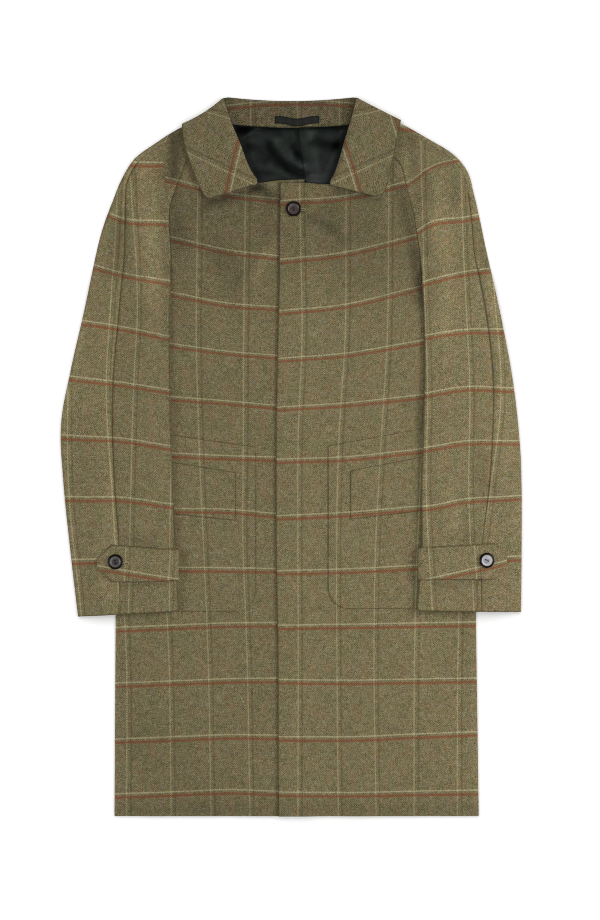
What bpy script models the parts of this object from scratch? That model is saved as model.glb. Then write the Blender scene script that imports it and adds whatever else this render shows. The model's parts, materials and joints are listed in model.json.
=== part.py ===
"""A plaid wool overcoat lying flat on its back, front up, with its sleeves laid down over its sides.

X runs to the right as seen from above, Y towards the collar and Z up from the surface it lies on.
Left and right are as seen from above. Sizes are in millimetres, and MM turns them into metres.
Every cut piece is a thin wall, and a height is that of the middle of its thickness.
"""
import math
from collections import namedtuple

import bmesh
import bpy
import numpy as np

MM = 0.001
COAT = "plaid_wool_coat"

# Walls and gaps
WOOL = 2.0
POCKET_CLOTH = 1.2
LINING_CLOTH = 1.0
TAPE = 1.0
SEAM_GAP = 0.3
LAYER_GAP = 0.6
OVER_BODY_GAP = 0.9
CURL_GAP = 0.55
LEAF_GAP = 0.9
STRAP_GAP = 0.8
LAP_GAP = 0.9

# Outline of the body below the armholes, and where the centre front edges run
BodyRow = namedtuple("BodyRow", "y left_x right_x")
BODY_SIDES = [
    BodyRow(-521.3, -256.7, 271.2),
    BodyRow(-231.0, -255.0, 268.5),
    BodyRow(0.0, -250.5, 263.0),
    BodyRow(200.0, -245.0, 257.5),
    BodyRow(231.0, -243.0, 255.0),
    BodyRow(245.0, -172.0, 186.0),
]
ARMPIT_Y = 245.0
UNDER_EDGE_X = 17.4
LAP_EDGE_X = -20.0
LAP_FLAT_X = 19.0
LAP_FADE_X = 44.0

# Raglan sleeves: outer edge, inner edge, and the overarm seam's distance in from the outer edge
SleeveRow = namedtuple("SleeveRow", "outer_x outer_y inner_x inner_y seam_in")
SLEEVE_LEFT = [
    SleeveRow(-108.0, 494.0, -100.0, 462.0, 6.0),
    SleeveRow(-158.0, 475.0, -148.0, 430.0, 6.0),
    SleeveRow(-199.0, 452.0, -159.0, 409.0, 6.0),
    SleeveRow(-229.0, 429.0, -167.0, 388.0, 6.0),
    SleeveRow(-246.0, 400.0, -175.0, 363.0, 9.0),
    SleeveRow(-258.0, 372.0, -176.5, 334.0, 20.0),
    SleeveRow(-270.0, 338.0, -174.0, 295.0, 32.0),
    SleeveRow(-281.0, 300.0, -174.5, 258.0, 40.0),
    SleeveRow(-299.0, 215.0, -175.8, 184.0, 48.0),
    SleeveRow(-319.5, 125.0, -175.0, 105.0, 58.0),
    SleeveRow(-332.8, 45.0, -173.6, 30.0, 71.0),
    SleeveRow(-328.5, -40.0, -171.2, -45.0, 72.0),
    SleeveRow(-318.7, -140.0, -166.5, -136.0, 70.0),
    SleeveRow(-308.5, -231.5, -163.0, -223.0, 60.0),
]
SLEEVE_RIGHT = [
    SleeveRow(118.0, 497.0, 108.0, 464.0, 6.0),
    SleeveRow(158.0, 479.0, 155.0, 426.0, 6.0),
    SleeveRow(196.0, 460.0, 165.0, 401.0, 6.0),
    SleeveRow(236.0, 438.0, 171.0, 377.0, 6.0),
    SleeveRow(254.5, 412.0, 177.5, 352.0, 6.0),
    SleeveRow(264.0, 382.0, 182.0, 326.0, 7.0),
    SleeveRow(273.5, 343.0, 186.6, 296.0, 10.0),
    SleeveRow(283.0, 297.0, 189.5, 262.0, 15.0),
    SleeveRow(302.5, 205.0, 193.0, 186.0, 20.0),
    SleeveRow(320.0, 112.0, 193.0, 104.0, 24.0),
    SleeveRow(330.0, 25.0, 191.0, 25.0, 35.0),
    SleeveRow(333.0, -45.0, 188.6, -45.0, 45.0),
    SleeveRow(333.0, -140.0, 189.0, -135.0, 54.0),
    SleeveRow(332.6, -224.0, 182.0, -223.0, 50.0),
]
ARMHOLE_ROWS = 6
ROWS_PER_GAP = 2  # below the armhole

# Front necklines: where a front section that starts at raglan_y on the armhole ends at the neck
NeckRow = namedtuple("NeckRow", "raglan_y x y")
NECK_LEFT = [
    NeckRow(409.0, -52.0, 399.4),
    NeckRow(430.0, -75.0, 408.0),
    NeckRow(447.0, -90.0, 434.0),
    NeckRow(462.0, -97.0, 458.0),
]
NECK_RIGHT = [
    NeckRow(401.0, 60.0, 398.6),
    NeckRow(426.0, 84.0, 412.0),
    NeckRow(447.0, 98.0, 436.0),
    NeckRow(464.0, 105.0, 460.0),
]
NECK_CORNER_LEFT_Y = 402.4
NECK_CORNER_RIGHT_Y = 398.0
BACK_NECK_Y = 477.0
BACK_NECK_LEFT_X = -88.0
BACK_NECK_RIGHT_X = 90.0

# Collar: the roll line and the outer edge, from a leaf's front end to where it turns under
CollarRow = namedtuple("CollarRow", "roll_x roll_y edge_x edge_y")
LEAF_LEFT = [
    CollarRow(-46.8, 397.7, -114.0, 376.0),
    CollarRow(-50.0, 404.0, -128.0, 380.0),
    CollarRow(-58.0, 424.0, -138.0, 400.0),
    CollarRow(-70.0, 453.0, -148.0, 433.0),
    CollarRow(-83.5, 484.0, -153.0, 460.0),
    CollarRow(-94.3, 513.9, -154.3, 476.7),
]
LEAF_RIGHT = [
    CollarRow(55.0, 397.7, 121.0, 377.0),
    CollarRow(57.5, 404.0, 134.0, 381.0),
    CollarRow(66.0, 430.0, 143.0, 402.0),
    CollarRow(76.0, 460.0, 150.0, 433.0),
    CollarRow(83.5, 488.0, 154.5, 462.0),
    CollarRow(86.7, 515.6, 155.7, 482.4),
]
FALL_BACK = [
    CollarRow(-60.0, 515.0, -85.0, 459.5),
    CollarRow(0.0, 516.5, 0.0, 450.0),
    CollarRow(60.0, 517.5, 85.0, 461.0),
]
LeafColumn = namedtuple("LeafColumn", "across lift")
LEAF_COLUMNS = [
    LeafColumn(0.0, 0.0),
    LeafColumn(0.06, 0.8),
    LeafColumn(0.16, 1.0),
    LeafColumn(0.32, 0.75),
    LeafColumn(0.55, 0.35),
    LeafColumn(0.78, 0.1),
    LeafColumn(1.0, 0.0),
]
ROLL_LIFT = 4.0
ROLL_FADE_START = 0.5  # of the leaf's rows
COLLAR_TURN_STEPS = 6

# Collar stand seen inside the back neck, and the hanger loop on it
STAND_BOTTOM_Y = 477.6
STAND_BOTTOM_BOW = 3.0
STAND_BOTTOM_HALF = 86.0
STAND_TOP_Y = 516.0
STAND_TOP_BOW = 1.0
STAND_TOP_HALF = 80.0
STAND_MIDDLE_X = 0.0
STAND_ROWS = 4
STAND_COLUMNS = 10
LOOP_LEFT_X = -23.0
LOOP_RIGHT_X = 41.0
LOOP_BOTTOM_Y = 484.0
LOOP_WIDTH = 9.5
LOOP_SLACK = 0.8
LOOP_COLUMNS = 8

# Lining, with a pleat down the centre back whose right half lies over the left
LiningRow = namedtuple("LiningRow", "y left_x pleat_x right_x")
LINING_ROWS = [
    LiningRow(384.0, -70.0, 23.0, 74.0),
    LiningRow(405.0, -73.0, 20.5, 77.0),
    LiningRow(430.0, -77.0, 16.5, 80.0),
    LiningRow(455.0, -81.0, 12.8, 83.0),
    LiningRow(476.4, -84.0, 10.5, 85.0),
]
PLEAT_UNDERLAP = 11.0
PLEAT_FLAT = 13.0
PLEAT_FADE = 32.0
LINING_COLUMNS = 8

# Pockets: a patch with one round lower corner, and a slanted welt on it, from the hidden outer side
Pocket = namedtuple("Pocket", "outer_x outer_top inner_x inner_top bottom_y corner")
POCKET_LEFT = Pocket(-228.0, 39.0, -52.5, 13.5, -224.0, 30.0)
POCKET_RIGHT = Pocket(240.0, 49.5, 54.0, 15.5, -219.7, 30.0)
Welt = namedtuple("Welt", "outer_x outer_top outer_bottom inner_x inner_top inner_bottom")
WELT_LEFT = Welt(-200.0, -3.5, -80.0, -80.0, -23.0, -92.5)
WELT_RIGHT = Welt(212.0, 4.0, -76.0, 86.3, -20.5, -91.0)
POCKET_CORNER_ROWS = 4
POCKET_ROWS = 6
POCKET_COLUMNS = 6
WELT_ROWS = 2

# Cuff straps, from the point to the end that turns round the sleeve's inner edge
StrapRow = namedtuple("StrapRow", "x top_y bottom_y")
STRAP_LEFT = [
    StrapRow(-280.0, -148.6, -157.0),
    StrapRow(-258.5, -127.5, -181.0),
    StrapRow(-226.0, -129.2, -181.0),
    StrapRow(-187.0, -133.0, -180.0),
    StrapRow(-170.0, -133.0, -179.2),
    StrapRow(-162.0, -133.0, -178.6),
]
STRAP_RIGHT = [
    StrapRow(312.0, -145.0, -152.0),
    StrapRow(295.0, -125.0, -177.5),
    StrapRow(255.0, -127.5, -177.5),
    StrapRow(215.0, -129.5, -177.5),
    StrapRow(193.0, -130.5, -177.5),
    StrapRow(183.0, -131.5, -177.5),
]
STRAP_COLUMNS = 3
STRAP_ROW_LENGTH = 11.0
STRAP_DROOP = 0.6

# Buttons: one shape, turned from a profile of radius and height
BUTTON_RADIUS = 11.0
ProfilePoint = namedtuple("ProfilePoint", "radius height")
BUTTON_PROFILE = [
    ProfilePoint(0.0, 2.6),
    ProfilePoint(6.5, 2.6),
    ProfilePoint(8.0, 3.4),
    ProfilePoint(9.6, 3.6),
    ProfilePoint(10.7, 2.9),
    ProfilePoint(BUTTON_RADIUS, 1.8),
    ProfilePoint(10.5, 0.6),
    ProfilePoint(9.4, 0.0),
    ProfilePoint(0.0, 0.0),
]
BUTTON_STEPS = 16
MERGE_DISTANCE = 0.0001
TOP_BUTTON = (3.3, 359.3)
CUFF_BUTTON_LEFT = (-255.0, -152.5)
CUFF_BUTTON_RIGHT = (283.6, -150.5)

# Heights: how the layers rise over each other
COLLAR_LIFT = WOOL + LAYER_GAP
NECK_RISE_START = 372.0
NECK_RISE_END = 438.0
SIDE_SPREAD = WOOL + SEAM_GAP
NECK_SPREAD = 5.1
SPREAD_START = 275.0
SPREAD_END = 383.0
BODY_LOFT = 2.0
BODY_MIDDLE_X = 7.2
BODY_HALF_WIDTH = 264.0
LOFT_NONE_Y = 290.0
LOFT_FULL_Y = 150.0
COVER_FULL = 7.0
COVER_NONE = 62.0
COVER_ABOVE_SCALE = 1.5
POCKET_LAYERS = 2
POCKET_RISE = POCKET_LAYERS * (POCKET_CLOTH + SEAM_GAP) + SEAM_GAP
POCKET_RISE_START_Y = 112.0
POCKET_RISE_END_Y = 62.0
SLEEVE_TUBE = 5.0
TUBE_SHUT_Y = 290.0
TUBE_OPEN_Y = 235.0

# How finely the cloth is divided
BODY_COLUMNS = 6
EDGE_COLUMNS = 4
BACK_COLUMNS = 12
BODY_ROW_LENGTH = 60.0
UNDER_COLUMNS = 9
FOLD_STEPS = 4
STRIP_COLUMNS = 4
UPPER_COLUMNS = 8
CURL_STEPS = 3

# Colours of the cloths and the horn, linear
TWEED_COLOUR = (0.165, 0.139, 0.074, 1.0)
LINING_COLOUR = (0.016, 0.018, 0.015, 1.0)
TAPE_COLOUR = (0.014, 0.014, 0.012, 1.0)
HORN_COLOUR = (0.045, 0.038, 0.034, 1.0)
TWEED_ROUGHNESS = 0.95
LINING_ROUGHNESS = 0.45
TAPE_ROUGHNESS = 0.8
HORN_ROUGHNESS = 0.35


def ease(value, start, end):
    """0 at start and 1 at end, smooth between them; start may be above end."""
    part = min(1.0, max(0.0, (value - start) / (end - start)))
    return part * part * (3.0 - 2.0 * part)


def between(first, last, part):
    return first + (last - first) * part


# Heights of the layers

def back_height(x, y):
    """The back lies on the surface, and rises at the neck over the turned-down collar."""
    return WOOL / 2.0 + COLLAR_LIFT * ease(y, NECK_RISE_START, NECK_RISE_END)


def front_height(x, y):
    across = (x - BODY_MIDDLE_X) / BODY_HALF_WIDTH
    loft = BODY_LOFT * max(0.0, 1.0 - across * across) * ease(y, LOFT_NONE_Y, LOFT_FULL_Y)
    spread = between(SIDE_SPREAD, NECK_SPREAD, ease(y, SPREAD_START, SPREAD_END))
    return back_height(x, y) + spread + loft


def lapped_height(x, y):
    """The right front, raised where it laps over the left one."""
    lap = (WOOL + LAP_GAP) * (1.0 - ease(x, LAP_FLAT_X, LAP_FADE_X))
    return front_height(x, y) + lap


def side_edge(y, side):
    heights = [row.y for row in BODY_SIDES[:-1]]
    edges = [row.left_x if side < 0 else row.right_x for row in BODY_SIDES[:-1]]
    return float(np.interp(y, heights, edges))


def body_cover(x, y, side):
    """1 where a sleeve lies over the body, 0 where it lies on the surface beside it."""
    beside = max(0.0, side * (x - side_edge(y, side)))
    above = COVER_ABOVE_SCALE * max(0.0, y - ARMPIT_Y)
    return 1.0 - ease(math.hypot(beside, above), COVER_FULL, COVER_NONE)


def under_sleeve(x, y, side):
    low = back_height(x, y)
    pocket = POCKET_RISE * ease(y, POCKET_RISE_START_Y, POCKET_RISE_END_Y)
    high = front_height(x, y) + WOOL + OVER_BODY_GAP + pocket
    return between(low, high, body_cover(x, y, side))


def upper_sleeve(x, y, side):
    spread = between(SIDE_SPREAD, NECK_SPREAD, ease(y, SPREAD_START, SPREAD_END))
    opened = (SLEEVE_TUBE - SIDE_SPREAD) * ease(y, TUBE_SHUT_Y, TUBE_OPEN_Y)
    return under_sleeve(x, y, side) + spread + opened


# Making cloth

def finish(name, colour, roughness):
    material = bpy.data.materials.new(name)
    material.use_nodes = True
    shader = material.node_tree.nodes["Principled BSDF"]
    shader.inputs["Base Color"].default_value = colour
    shader.inputs["Roughness"].default_value = roughness
    shader.inputs["Metallic"].default_value = 0.0
    return material


def tweed(name):
    return finish(name, TWEED_COLOUR, TWEED_ROUGHNESS)


def add_piece(name, mesh, material):
    piece = bpy.data.objects.new(name, mesh)
    mesh.materials.append(material)
    bpy.data.collections[COAT].objects.link(piece)
    return piece


def cloth(name, points, wall, material):
    """A wall of cloth: a grid whose vertices go to points[row][column], thickened to both sides.
    A point of None is cut out of the grid."""
    rows = len(points) - 1
    columns = len(points[0]) - 1
    grid = bmesh.new()
    bmesh.ops.create_grid(grid, x_segments=columns, y_segments=rows, size=1.0)
    cut_out = []
    for vertex in grid.verts:
        column = round((vertex.co.x + 1.0) / 2.0 * columns)
        row = round((vertex.co.y + 1.0) / 2.0 * rows)
        point = points[row][column]
        if point is None:
            cut_out.append(vertex)
        else:
            vertex.co = [size * MM for size in point]
    bmesh.ops.delete(grid, geom=cut_out, context="VERTS")
    mesh = bpy.data.meshes.new(name)
    grid.to_mesh(mesh)
    grid.free()
    mesh.shade_smooth()
    piece = add_piece(name, mesh, material)
    thickness = piece.modifiers.new("cloth", "SOLIDIFY")
    thickness.thickness = wall * MM
    thickness.offset = 0.0
    thickness.use_even_offset = True
    return piece


def across_points(first, last, columns, height, dip=0.0):
    """Points on the line from first to last, bowed down by dip, at the height of the cloth."""
    line = []
    for column in range(columns + 1):
        part = column / columns
        x = between(first[0], last[0], part)
        y = between(first[1], last[1], part) - 4.0 * dip * part * (1.0 - part)
        line.append((x, y, height(x, y)))
    return line


def smooth_rows(rows, per_gap):
    """Rows on a smooth curve through the given ones, per_gap to each gap."""
    values = np.array(rows, float)
    padded = np.vstack([2 * values[0] - values[1], values, 2 * values[-1] - values[-2]])
    found = []
    for gap in range(len(values) - 1):
        before, start, end, after = padded[gap:gap + 4]
        for step in range(per_gap):
            part = step / per_gap
            bend = part * ((2 * before - 5 * start + 4 * end - after)
                           + part * (3 * (start - end) + after - before))
            found.append(start + 0.5 * part * (end - before + bend))
    found.append(values[-1])
    return [type(rows[0])(*row) for row in found]


def straight_rows(rows, length):
    """The rows with more between them, so that none are further apart than length in their first column."""
    found = []
    for low, high in zip(rows, rows[1:]):
        steps = max(1, math.ceil(abs(high[0] - low[0]) / length))
        for step in range(steps):
            part = step / steps
            found.append(type(low)(*(between(a, b, part) for a, b in zip(low, high))))
    found.append(rows[-1])
    return found


# Body

def armhole(sleeve_rows):
    """The sleeve's rows that are sewn to the body, from the armpit up to the neck."""
    return sleeve_rows[ARMHOLE_ROWS::-1]


def neck_point(neck, raglan_y):
    heights = [row.raglan_y for row in neck]
    x = float(np.interp(raglan_y, heights, [row.x for row in neck]))
    y = float(np.interp(raglan_y, heights, [row.y for row in neck]))
    return x, y


def front(name, side, sleeve_rows, neck, edge_x, corner_y, height):
    """A front from hem to neck. Its sections run from the side or armhole, by the start of the neckline,
    to the centre edge, and above the neckline they end at the neck."""
    neck_start = neck[0]

    def section(seam, turn, edge):
        outer = across_points(seam, turn, BODY_COLUMNS, height)
        return outer + across_points(turn, edge, EDGE_COLUMNS, height)[1:]

    sections = []
    for row in straight_rows(BODY_SIDES, BODY_ROW_LENGTH):
        side_x = row.left_x if side < 0 else row.right_x
        sections.append(section((side_x, row.y), (neck_start.x, row.y), (edge_x, row.y)))
    for row in armhole(sleeve_rows):
        seam = (row.inner_x - side * SEAM_GAP, row.inner_y)
        if row.inner_y <= neck_start.raglan_y:
            part = (row.inner_y - ARMPIT_Y) / (neck_start.raglan_y - ARMPIT_Y)
            turn = (neck_start.x, between(ARMPIT_Y, neck_start.y, part))
            sections.append(section(seam, turn, (edge_x, between(ARMPIT_Y, corner_y, part))))
        else:
            outer = across_points(seam, neck_point(neck, row.inner_y), BODY_COLUMNS, height)
            sections.append(outer + [None] * EDGE_COLUMNS)
    return cloth(name, sections, WOOL, tweed(name + "_tweed"))


def back():
    sections = []
    for row in straight_rows(BODY_SIDES, BODY_ROW_LENGTH):
        ends = (row.left_x, row.y), (row.right_x, row.y)
        sections.append(across_points(*ends, BACK_COLUMNS, back_height))
    for left, right in zip(armhole(SLEEVE_LEFT), armhole(SLEEVE_RIGHT)):
        ends = (left.inner_x + SEAM_GAP, left.inner_y), (right.inner_x - SEAM_GAP, right.inner_y)
        sections.append(across_points(*ends, BACK_COLUMNS, back_height))
    neck = (BACK_NECK_LEFT_X, BACK_NECK_Y), (BACK_NECK_RIGHT_X, BACK_NECK_Y)
    sections.append(across_points(*neck, BACK_COLUMNS, back_height))
    return cloth("back", sections, WOOL, tweed("back_tweed"))


# Sleeves

class SleeveSection:
    """One section across a sleeve: places at a distance in from its outer edge, and its layers there."""

    def __init__(self, row, side):
        self.side = side
        self.outer = np.array([row.outer_x, row.outer_y])
        inward = np.array([row.inner_x, row.inner_y]) - self.outer
        self.width = float(np.linalg.norm(inward))
        self.direction = inward / self.width
        self.seam_in = row.seam_in
        self.curl = ease(row.inner_y, SLEEVE_LEFT[ARMHOLE_ROWS].inner_y, TUBE_OPEN_Y)

    def place(self, inward):
        return self.outer + self.direction * inward

    def layer(self, inward, height):
        x, y = self.place(inward)
        return float(x), float(y), height(x, y, self.side)

    def radius(self, inward):
        """Half of the tube's height near an edge."""
        x, y = self.place(inward)
        return (upper_sleeve(x, y, self.side) - under_sleeve(x, y, self.side)) / 2.0

    def outer_fold(self):
        """The round outer edge, from the under layer to the upper one."""
        radius = self.radius(0.0)
        low = self.layer(radius, under_sleeve)[2]
        points = []
        for step in range(FOLD_STEPS + 1):
            angle = math.pi * step / FOLD_STEPS
            x, y = self.place(radius * (1.0 - math.sin(angle)))
            points.append((float(x), float(y), low + radius * (1.0 - math.cos(angle))))
        return points

    def inner_curl(self, height, turn):
        """The last stretch to the inner edge, curling up or down by turn to the seam there."""
        radius = self.radius(self.width)
        start = self.width - radius
        end_angle = math.acos(CURL_GAP / radius)
        points = []
        for step in range(CURL_STEPS + 1):
            angle = end_angle * step / CURL_STEPS
            x, y, z = self.layer(start + radius * math.sin(angle), height)
            drop = radius * (1.0 - math.cos(angle)) * self.curl
            points.append((x, y, z + turn * drop))
        return points

    def stretch(self, start, end, columns, height):
        spots = np.linspace(start, end, columns + 1)
        return [self.layer(spot, height) for spot in spots]

    def back_points(self):
        inner = self.inner_curl(under_sleeve, 1.0)[::-1]
        fold = self.outer_fold()
        radius = self.radius(0.0)
        curl_start = self.width - self.radius(self.width)
        under = self.stretch(curl_start, radius, UNDER_COLUMNS, under_sleeve)
        strip = self.stretch(radius, self.seam_in - SEAM_GAP / 2.0, STRIP_COLUMNS, upper_sleeve)
        return inner + under[1:-1] + fold + strip[1:]

    def front_points(self):
        inner = self.inner_curl(upper_sleeve, -1.0)
        curl_start = self.width - self.radius(self.width)
        upper = self.stretch(self.seam_in + SEAM_GAP / 2.0, curl_start, UPPER_COLUMNS, upper_sleeve)
        return upper[:-1] + inner


def sleeve(side_name, side, rows):
    below = smooth_rows(rows, ROWS_PER_GAP)[ARMHOLE_ROWS * ROWS_PER_GAP:]
    sections = [SleeveSection(row, side) for row in rows[:ARMHOLE_ROWS] + below]
    back_name = "sleeve_back_" + side_name
    front_name = "sleeve_front_" + side_name
    cloth(back_name, [section.back_points() for section in sections], WOOL, tweed(back_name + "_tweed"))
    cloth(front_name, [section.front_points() for section in sections], WOOL, tweed(front_name + "_tweed"))


# Collar

def leaf_points(row, lift):
    """One line across a collar leaf, from its roll to its outer edge, lying on the coat."""
    line = []
    for column in LEAF_COLUMNS:
        x = between(row.roll_x, row.edge_x, column.across)
        y = between(row.roll_y, row.edge_y, column.across)
        z = front_height(x, y) + WOOL + LEAF_GAP + ROLL_LIFT * lift * column.lift
        line.append((x, y, z))
    return line


def leaf_lines(leaf):
    """Lines from the leaf's front end to where it turns under, where the roll has flattened out."""
    last = len(leaf) - 1
    lines = []
    for number, row in enumerate(leaf):
        lift = 1.0 - ease(number, ROLL_FADE_START * last, last)
        lines.append(leaf_points(row, lift))
    return lines


def turn_lines(row, outward):
    """The round turn from a leaf's last line down to the layer under the back neck."""
    top = leaf_points(row, 0.0)
    lines = []
    for step in range(1, COLLAR_TURN_STEPS + 1):
        angle = math.pi * step / COLLAR_TURN_STEPS
        line = []
        for x, y, z in top:
            radius = (z - WOOL / 2.0) / 2.0
            reach = radius * math.sin(angle)
            height = WOOL / 2.0 + radius * (1.0 + math.cos(angle))
            line.append((x + outward[0] * reach, y + outward[1] * reach, height))
        lines.append(line)
    return lines


def outward_of(row):
    """The way out of the coat from the line where a leaf turns under."""
    along = np.array([row.edge_x - row.roll_x, row.edge_y - row.roll_y])
    across = np.array([-along[1], along[0]]) / np.linalg.norm(along)
    return across if across[1] > 0.0 else -across


def flat_fall(row):
    line = []
    for column in LEAF_COLUMNS:
        x = between(row.roll_x, row.edge_x, column.across)
        y = between(row.roll_y, row.edge_y, column.across)
        line.append((x, y, WOOL / 2.0))
    return line


def collar():
    left = leaf_lines(LEAF_LEFT) + turn_lines(LEAF_LEFT[-1], outward_of(LEAF_LEFT[-1]))
    right = leaf_lines(LEAF_RIGHT) + turn_lines(LEAF_RIGHT[-1], outward_of(LEAF_RIGHT[-1]))
    fall = [flat_fall(row) for row in smooth_rows([LEAF_LEFT[-1], *FALL_BACK, LEAF_RIGHT[-1]], 2)[1:-1]]
    cloth("collar_fall", left + fall + right[::-1], WOOL, tweed("collar_fall_tweed"))


def stand():
    sections = []
    for row in range(STAND_ROWS + 1):
        part = row / STAND_ROWS
        middle_y = between(STAND_BOTTOM_Y, STAND_TOP_Y, part)
        bow = between(STAND_BOTTOM_BOW, STAND_TOP_BOW, part)
        half = between(STAND_BOTTOM_HALF, STAND_TOP_HALF, part)
        ends = (STAND_MIDDLE_X - half, middle_y + bow), (STAND_MIDDLE_X + half, middle_y + bow)
        sections.append(across_points(*ends, STAND_COLUMNS, back_height, bow))
    cloth("collar_stand", sections, WOOL, tweed("collar_stand_tweed"))


def loop_height(x, y):
    part = (x - LOOP_LEFT_X) / (LOOP_RIGHT_X - LOOP_LEFT_X)
    slack = LOOP_SLACK * math.sin(math.pi * part)
    return back_height(x, y) + WOOL / 2.0 + SEAM_GAP + TAPE / 2.0 + slack


def hanger_loop():
    sections = []
    for y in (LOOP_BOTTOM_Y, LOOP_BOTTOM_Y + LOOP_WIDTH):
        sections.append(across_points((LOOP_LEFT_X, y), (LOOP_RIGHT_X, y), LOOP_COLUMNS, loop_height))
    cloth("hanger_loop", sections, TAPE, finish("hanger_loop_tape", TAPE_COLOUR, TAPE_ROUGHNESS))


# Lining

def lining_height(x, y):
    return back_height(x, y) + WOOL / 2.0 + SEAM_GAP + LINING_CLOTH / 2.0


def pleat_height(x, y, pleat_x):
    over = (LINING_CLOTH + SEAM_GAP) * (1.0 - ease(x - pleat_x, PLEAT_FLAT, PLEAT_FADE))
    return lining_height(x, y) + over


def lining():
    left = []
    right = []
    for row in LINING_ROWS:
        under_end = (row.pleat_x + PLEAT_UNDERLAP, row.y)
        left.append(across_points((row.left_x, row.y), under_end, LINING_COLUMNS, lining_height))
        spots = np.linspace(row.pleat_x, row.right_x, LINING_COLUMNS + 1)
        right.append([(float(x), row.y, pleat_height(x, row.y, row.pleat_x)) for x in spots])
    for name, sections in (("lining_left", left), ("lining_right", right)):
        cloth(name, sections, LINING_CLOTH, finish(name + "_satin", LINING_COLOUR, LINING_ROUGHNESS))


# Pockets

def on_front(layers):
    """Heights of pocket cloth that is the given layer on a front."""
    start = WOOL / 2.0 + SEAM_GAP + POCKET_CLOTH / 2.0
    above = start + (layers - 1) * (POCKET_CLOTH + SEAM_GAP)
    return lambda x, y: front_height(x, y) + above


def pocket(side_name, patch, welt, side):
    """A patch from its bottom up to its slanted top, and the welt on it."""
    inward = -side
    sections = []
    for angle in np.linspace(0.0, math.pi / 2.0, POCKET_CORNER_ROWS + 1):
        cut = patch.corner * (1.0 - math.sin(angle))
        y = patch.bottom_y + patch.corner * (1.0 - math.cos(angle))
        ends = (patch.outer_x, y), (patch.inner_x - inward * cut, y)
        sections.append(across_points(*ends, POCKET_COLUMNS, on_front(1)))
    start_y = patch.bottom_y + patch.corner
    for part in np.linspace(0.0, 1.0, POCKET_ROWS + 1)[1:]:
        outer = (patch.outer_x, between(start_y, patch.outer_top, part))
        inner = (patch.inner_x, between(start_y, patch.inner_top, part))
        sections.append(across_points(outer, inner, POCKET_COLUMNS, on_front(1)))
    name = "pocket_patch_" + side_name
    cloth(name, sections, POCKET_CLOTH, tweed(name + "_tweed"))

    sections = []
    for row in range(WELT_ROWS + 1):
        part = row / WELT_ROWS
        outer = (welt.outer_x, between(welt.outer_bottom, welt.outer_top, part))
        inner = (welt.inner_x, between(welt.inner_bottom, welt.inner_top, part))
        sections.append(across_points(outer, inner, POCKET_COLUMNS, on_front(2)))
    name = "pocket_welt_" + side_name
    cloth(name, sections, POCKET_CLOTH, tweed(name + "_tweed"))


# Cuff straps

def strap_height(x, y, side):
    return upper_sleeve(x, y, side) + WOOL + STRAP_GAP


def strap(side_name, side, rows):
    sections = []
    for row in straight_rows(rows, STRAP_ROW_LENGTH):
        droop = STRAP_DROOP if row.x == rows[-1].x else 0.0
        spots = np.linspace(row.top_y, row.bottom_y, STRAP_COLUMNS + 1)
        sections.append([(row.x, float(y), strap_height(row.x, y, side) - droop) for y in spots])
    name = "cuff_strap_" + side_name
    cloth(name, sections, WOOL, tweed(name + "_tweed"))


# Buttons

def highest_under(place, height):
    """The top of the cloth under a button, at its centre and round its rim."""
    x, y = place
    reach = [(0, 0), (1, 0), (-1, 0), (0, 1), (0, -1)]
    return max(height(x + BUTTON_RADIUS * a, y + BUTTON_RADIUS * b) for a, b in reach) + WOOL / 2.0


def button(name, place, height):
    base = highest_under(place, height) + SEAM_GAP
    mesh = bpy.data.meshes.new(name)
    points = [(point.radius * MM, 0.0, point.height * MM) for point in BUTTON_PROFILE]
    mesh.from_pydata(points, [(spot, spot + 1) for spot in range(len(points) - 1)], [])
    piece = add_piece(name, mesh, finish(name + "_horn", HORN_COLOUR, HORN_ROUGHNESS))
    turned = piece.modifiers.new("turned", "SCREW")
    turned.steps = BUTTON_STEPS
    turned.render_steps = BUTTON_STEPS
    turned.use_merge_vertices = True
    turned.merge_threshold = MERGE_DISTANCE
    turned.use_smooth_shade = True
    piece.location = [place[0] * MM, place[1] * MM, base * MM]


def main():
    for thing in list(bpy.data.objects):
        bpy.data.objects.remove(thing)
    collection = bpy.data.collections.new(COAT)
    bpy.context.scene.collection.children.link(collection)

    back()
    front("front_left", -1, SLEEVE_LEFT, NECK_LEFT, UNDER_EDGE_X, NECK_CORNER_LEFT_Y, front_height)
    front("front_right", 1, SLEEVE_RIGHT, NECK_RIGHT, LAP_EDGE_X, NECK_CORNER_RIGHT_Y, lapped_height)
    sleeve("left", -1, SLEEVE_LEFT)
    sleeve("right", 1, SLEEVE_RIGHT)
    stand()
    collar()
    hanger_loop()
    lining()
    pocket("left", POCKET_LEFT, WELT_LEFT, -1)
    pocket("right", POCKET_RIGHT, WELT_RIGHT, 1)
    strap("left", -1, STRAP_LEFT)
    strap("right", 1, STRAP_RIGHT)
    button("button_top", TOP_BUTTON, lapped_height)
    button("button_cuff_left", CUFF_BUTTON_LEFT, lambda x, y: strap_height(x, y, -1))
    button("button_cuff_right", CUFF_BUTTON_RIGHT, lambda x, y: strap_height(x, y, 1))


main()
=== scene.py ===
"""The looks of a plaid wool overcoat lying flat, front up, with its sleeves laid over its sides.

Sizes are in millimetres in the part's own frame: x to the right as seen from above, y towards the collar,
z up from the floor. Left and right are as seen from above. MM turns millimetres into metres.
"""
import json
import math
from collections import namedtuple
from functools import cache

import bpy
import numpy as np
from mathutils import Matrix, Vector

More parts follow.
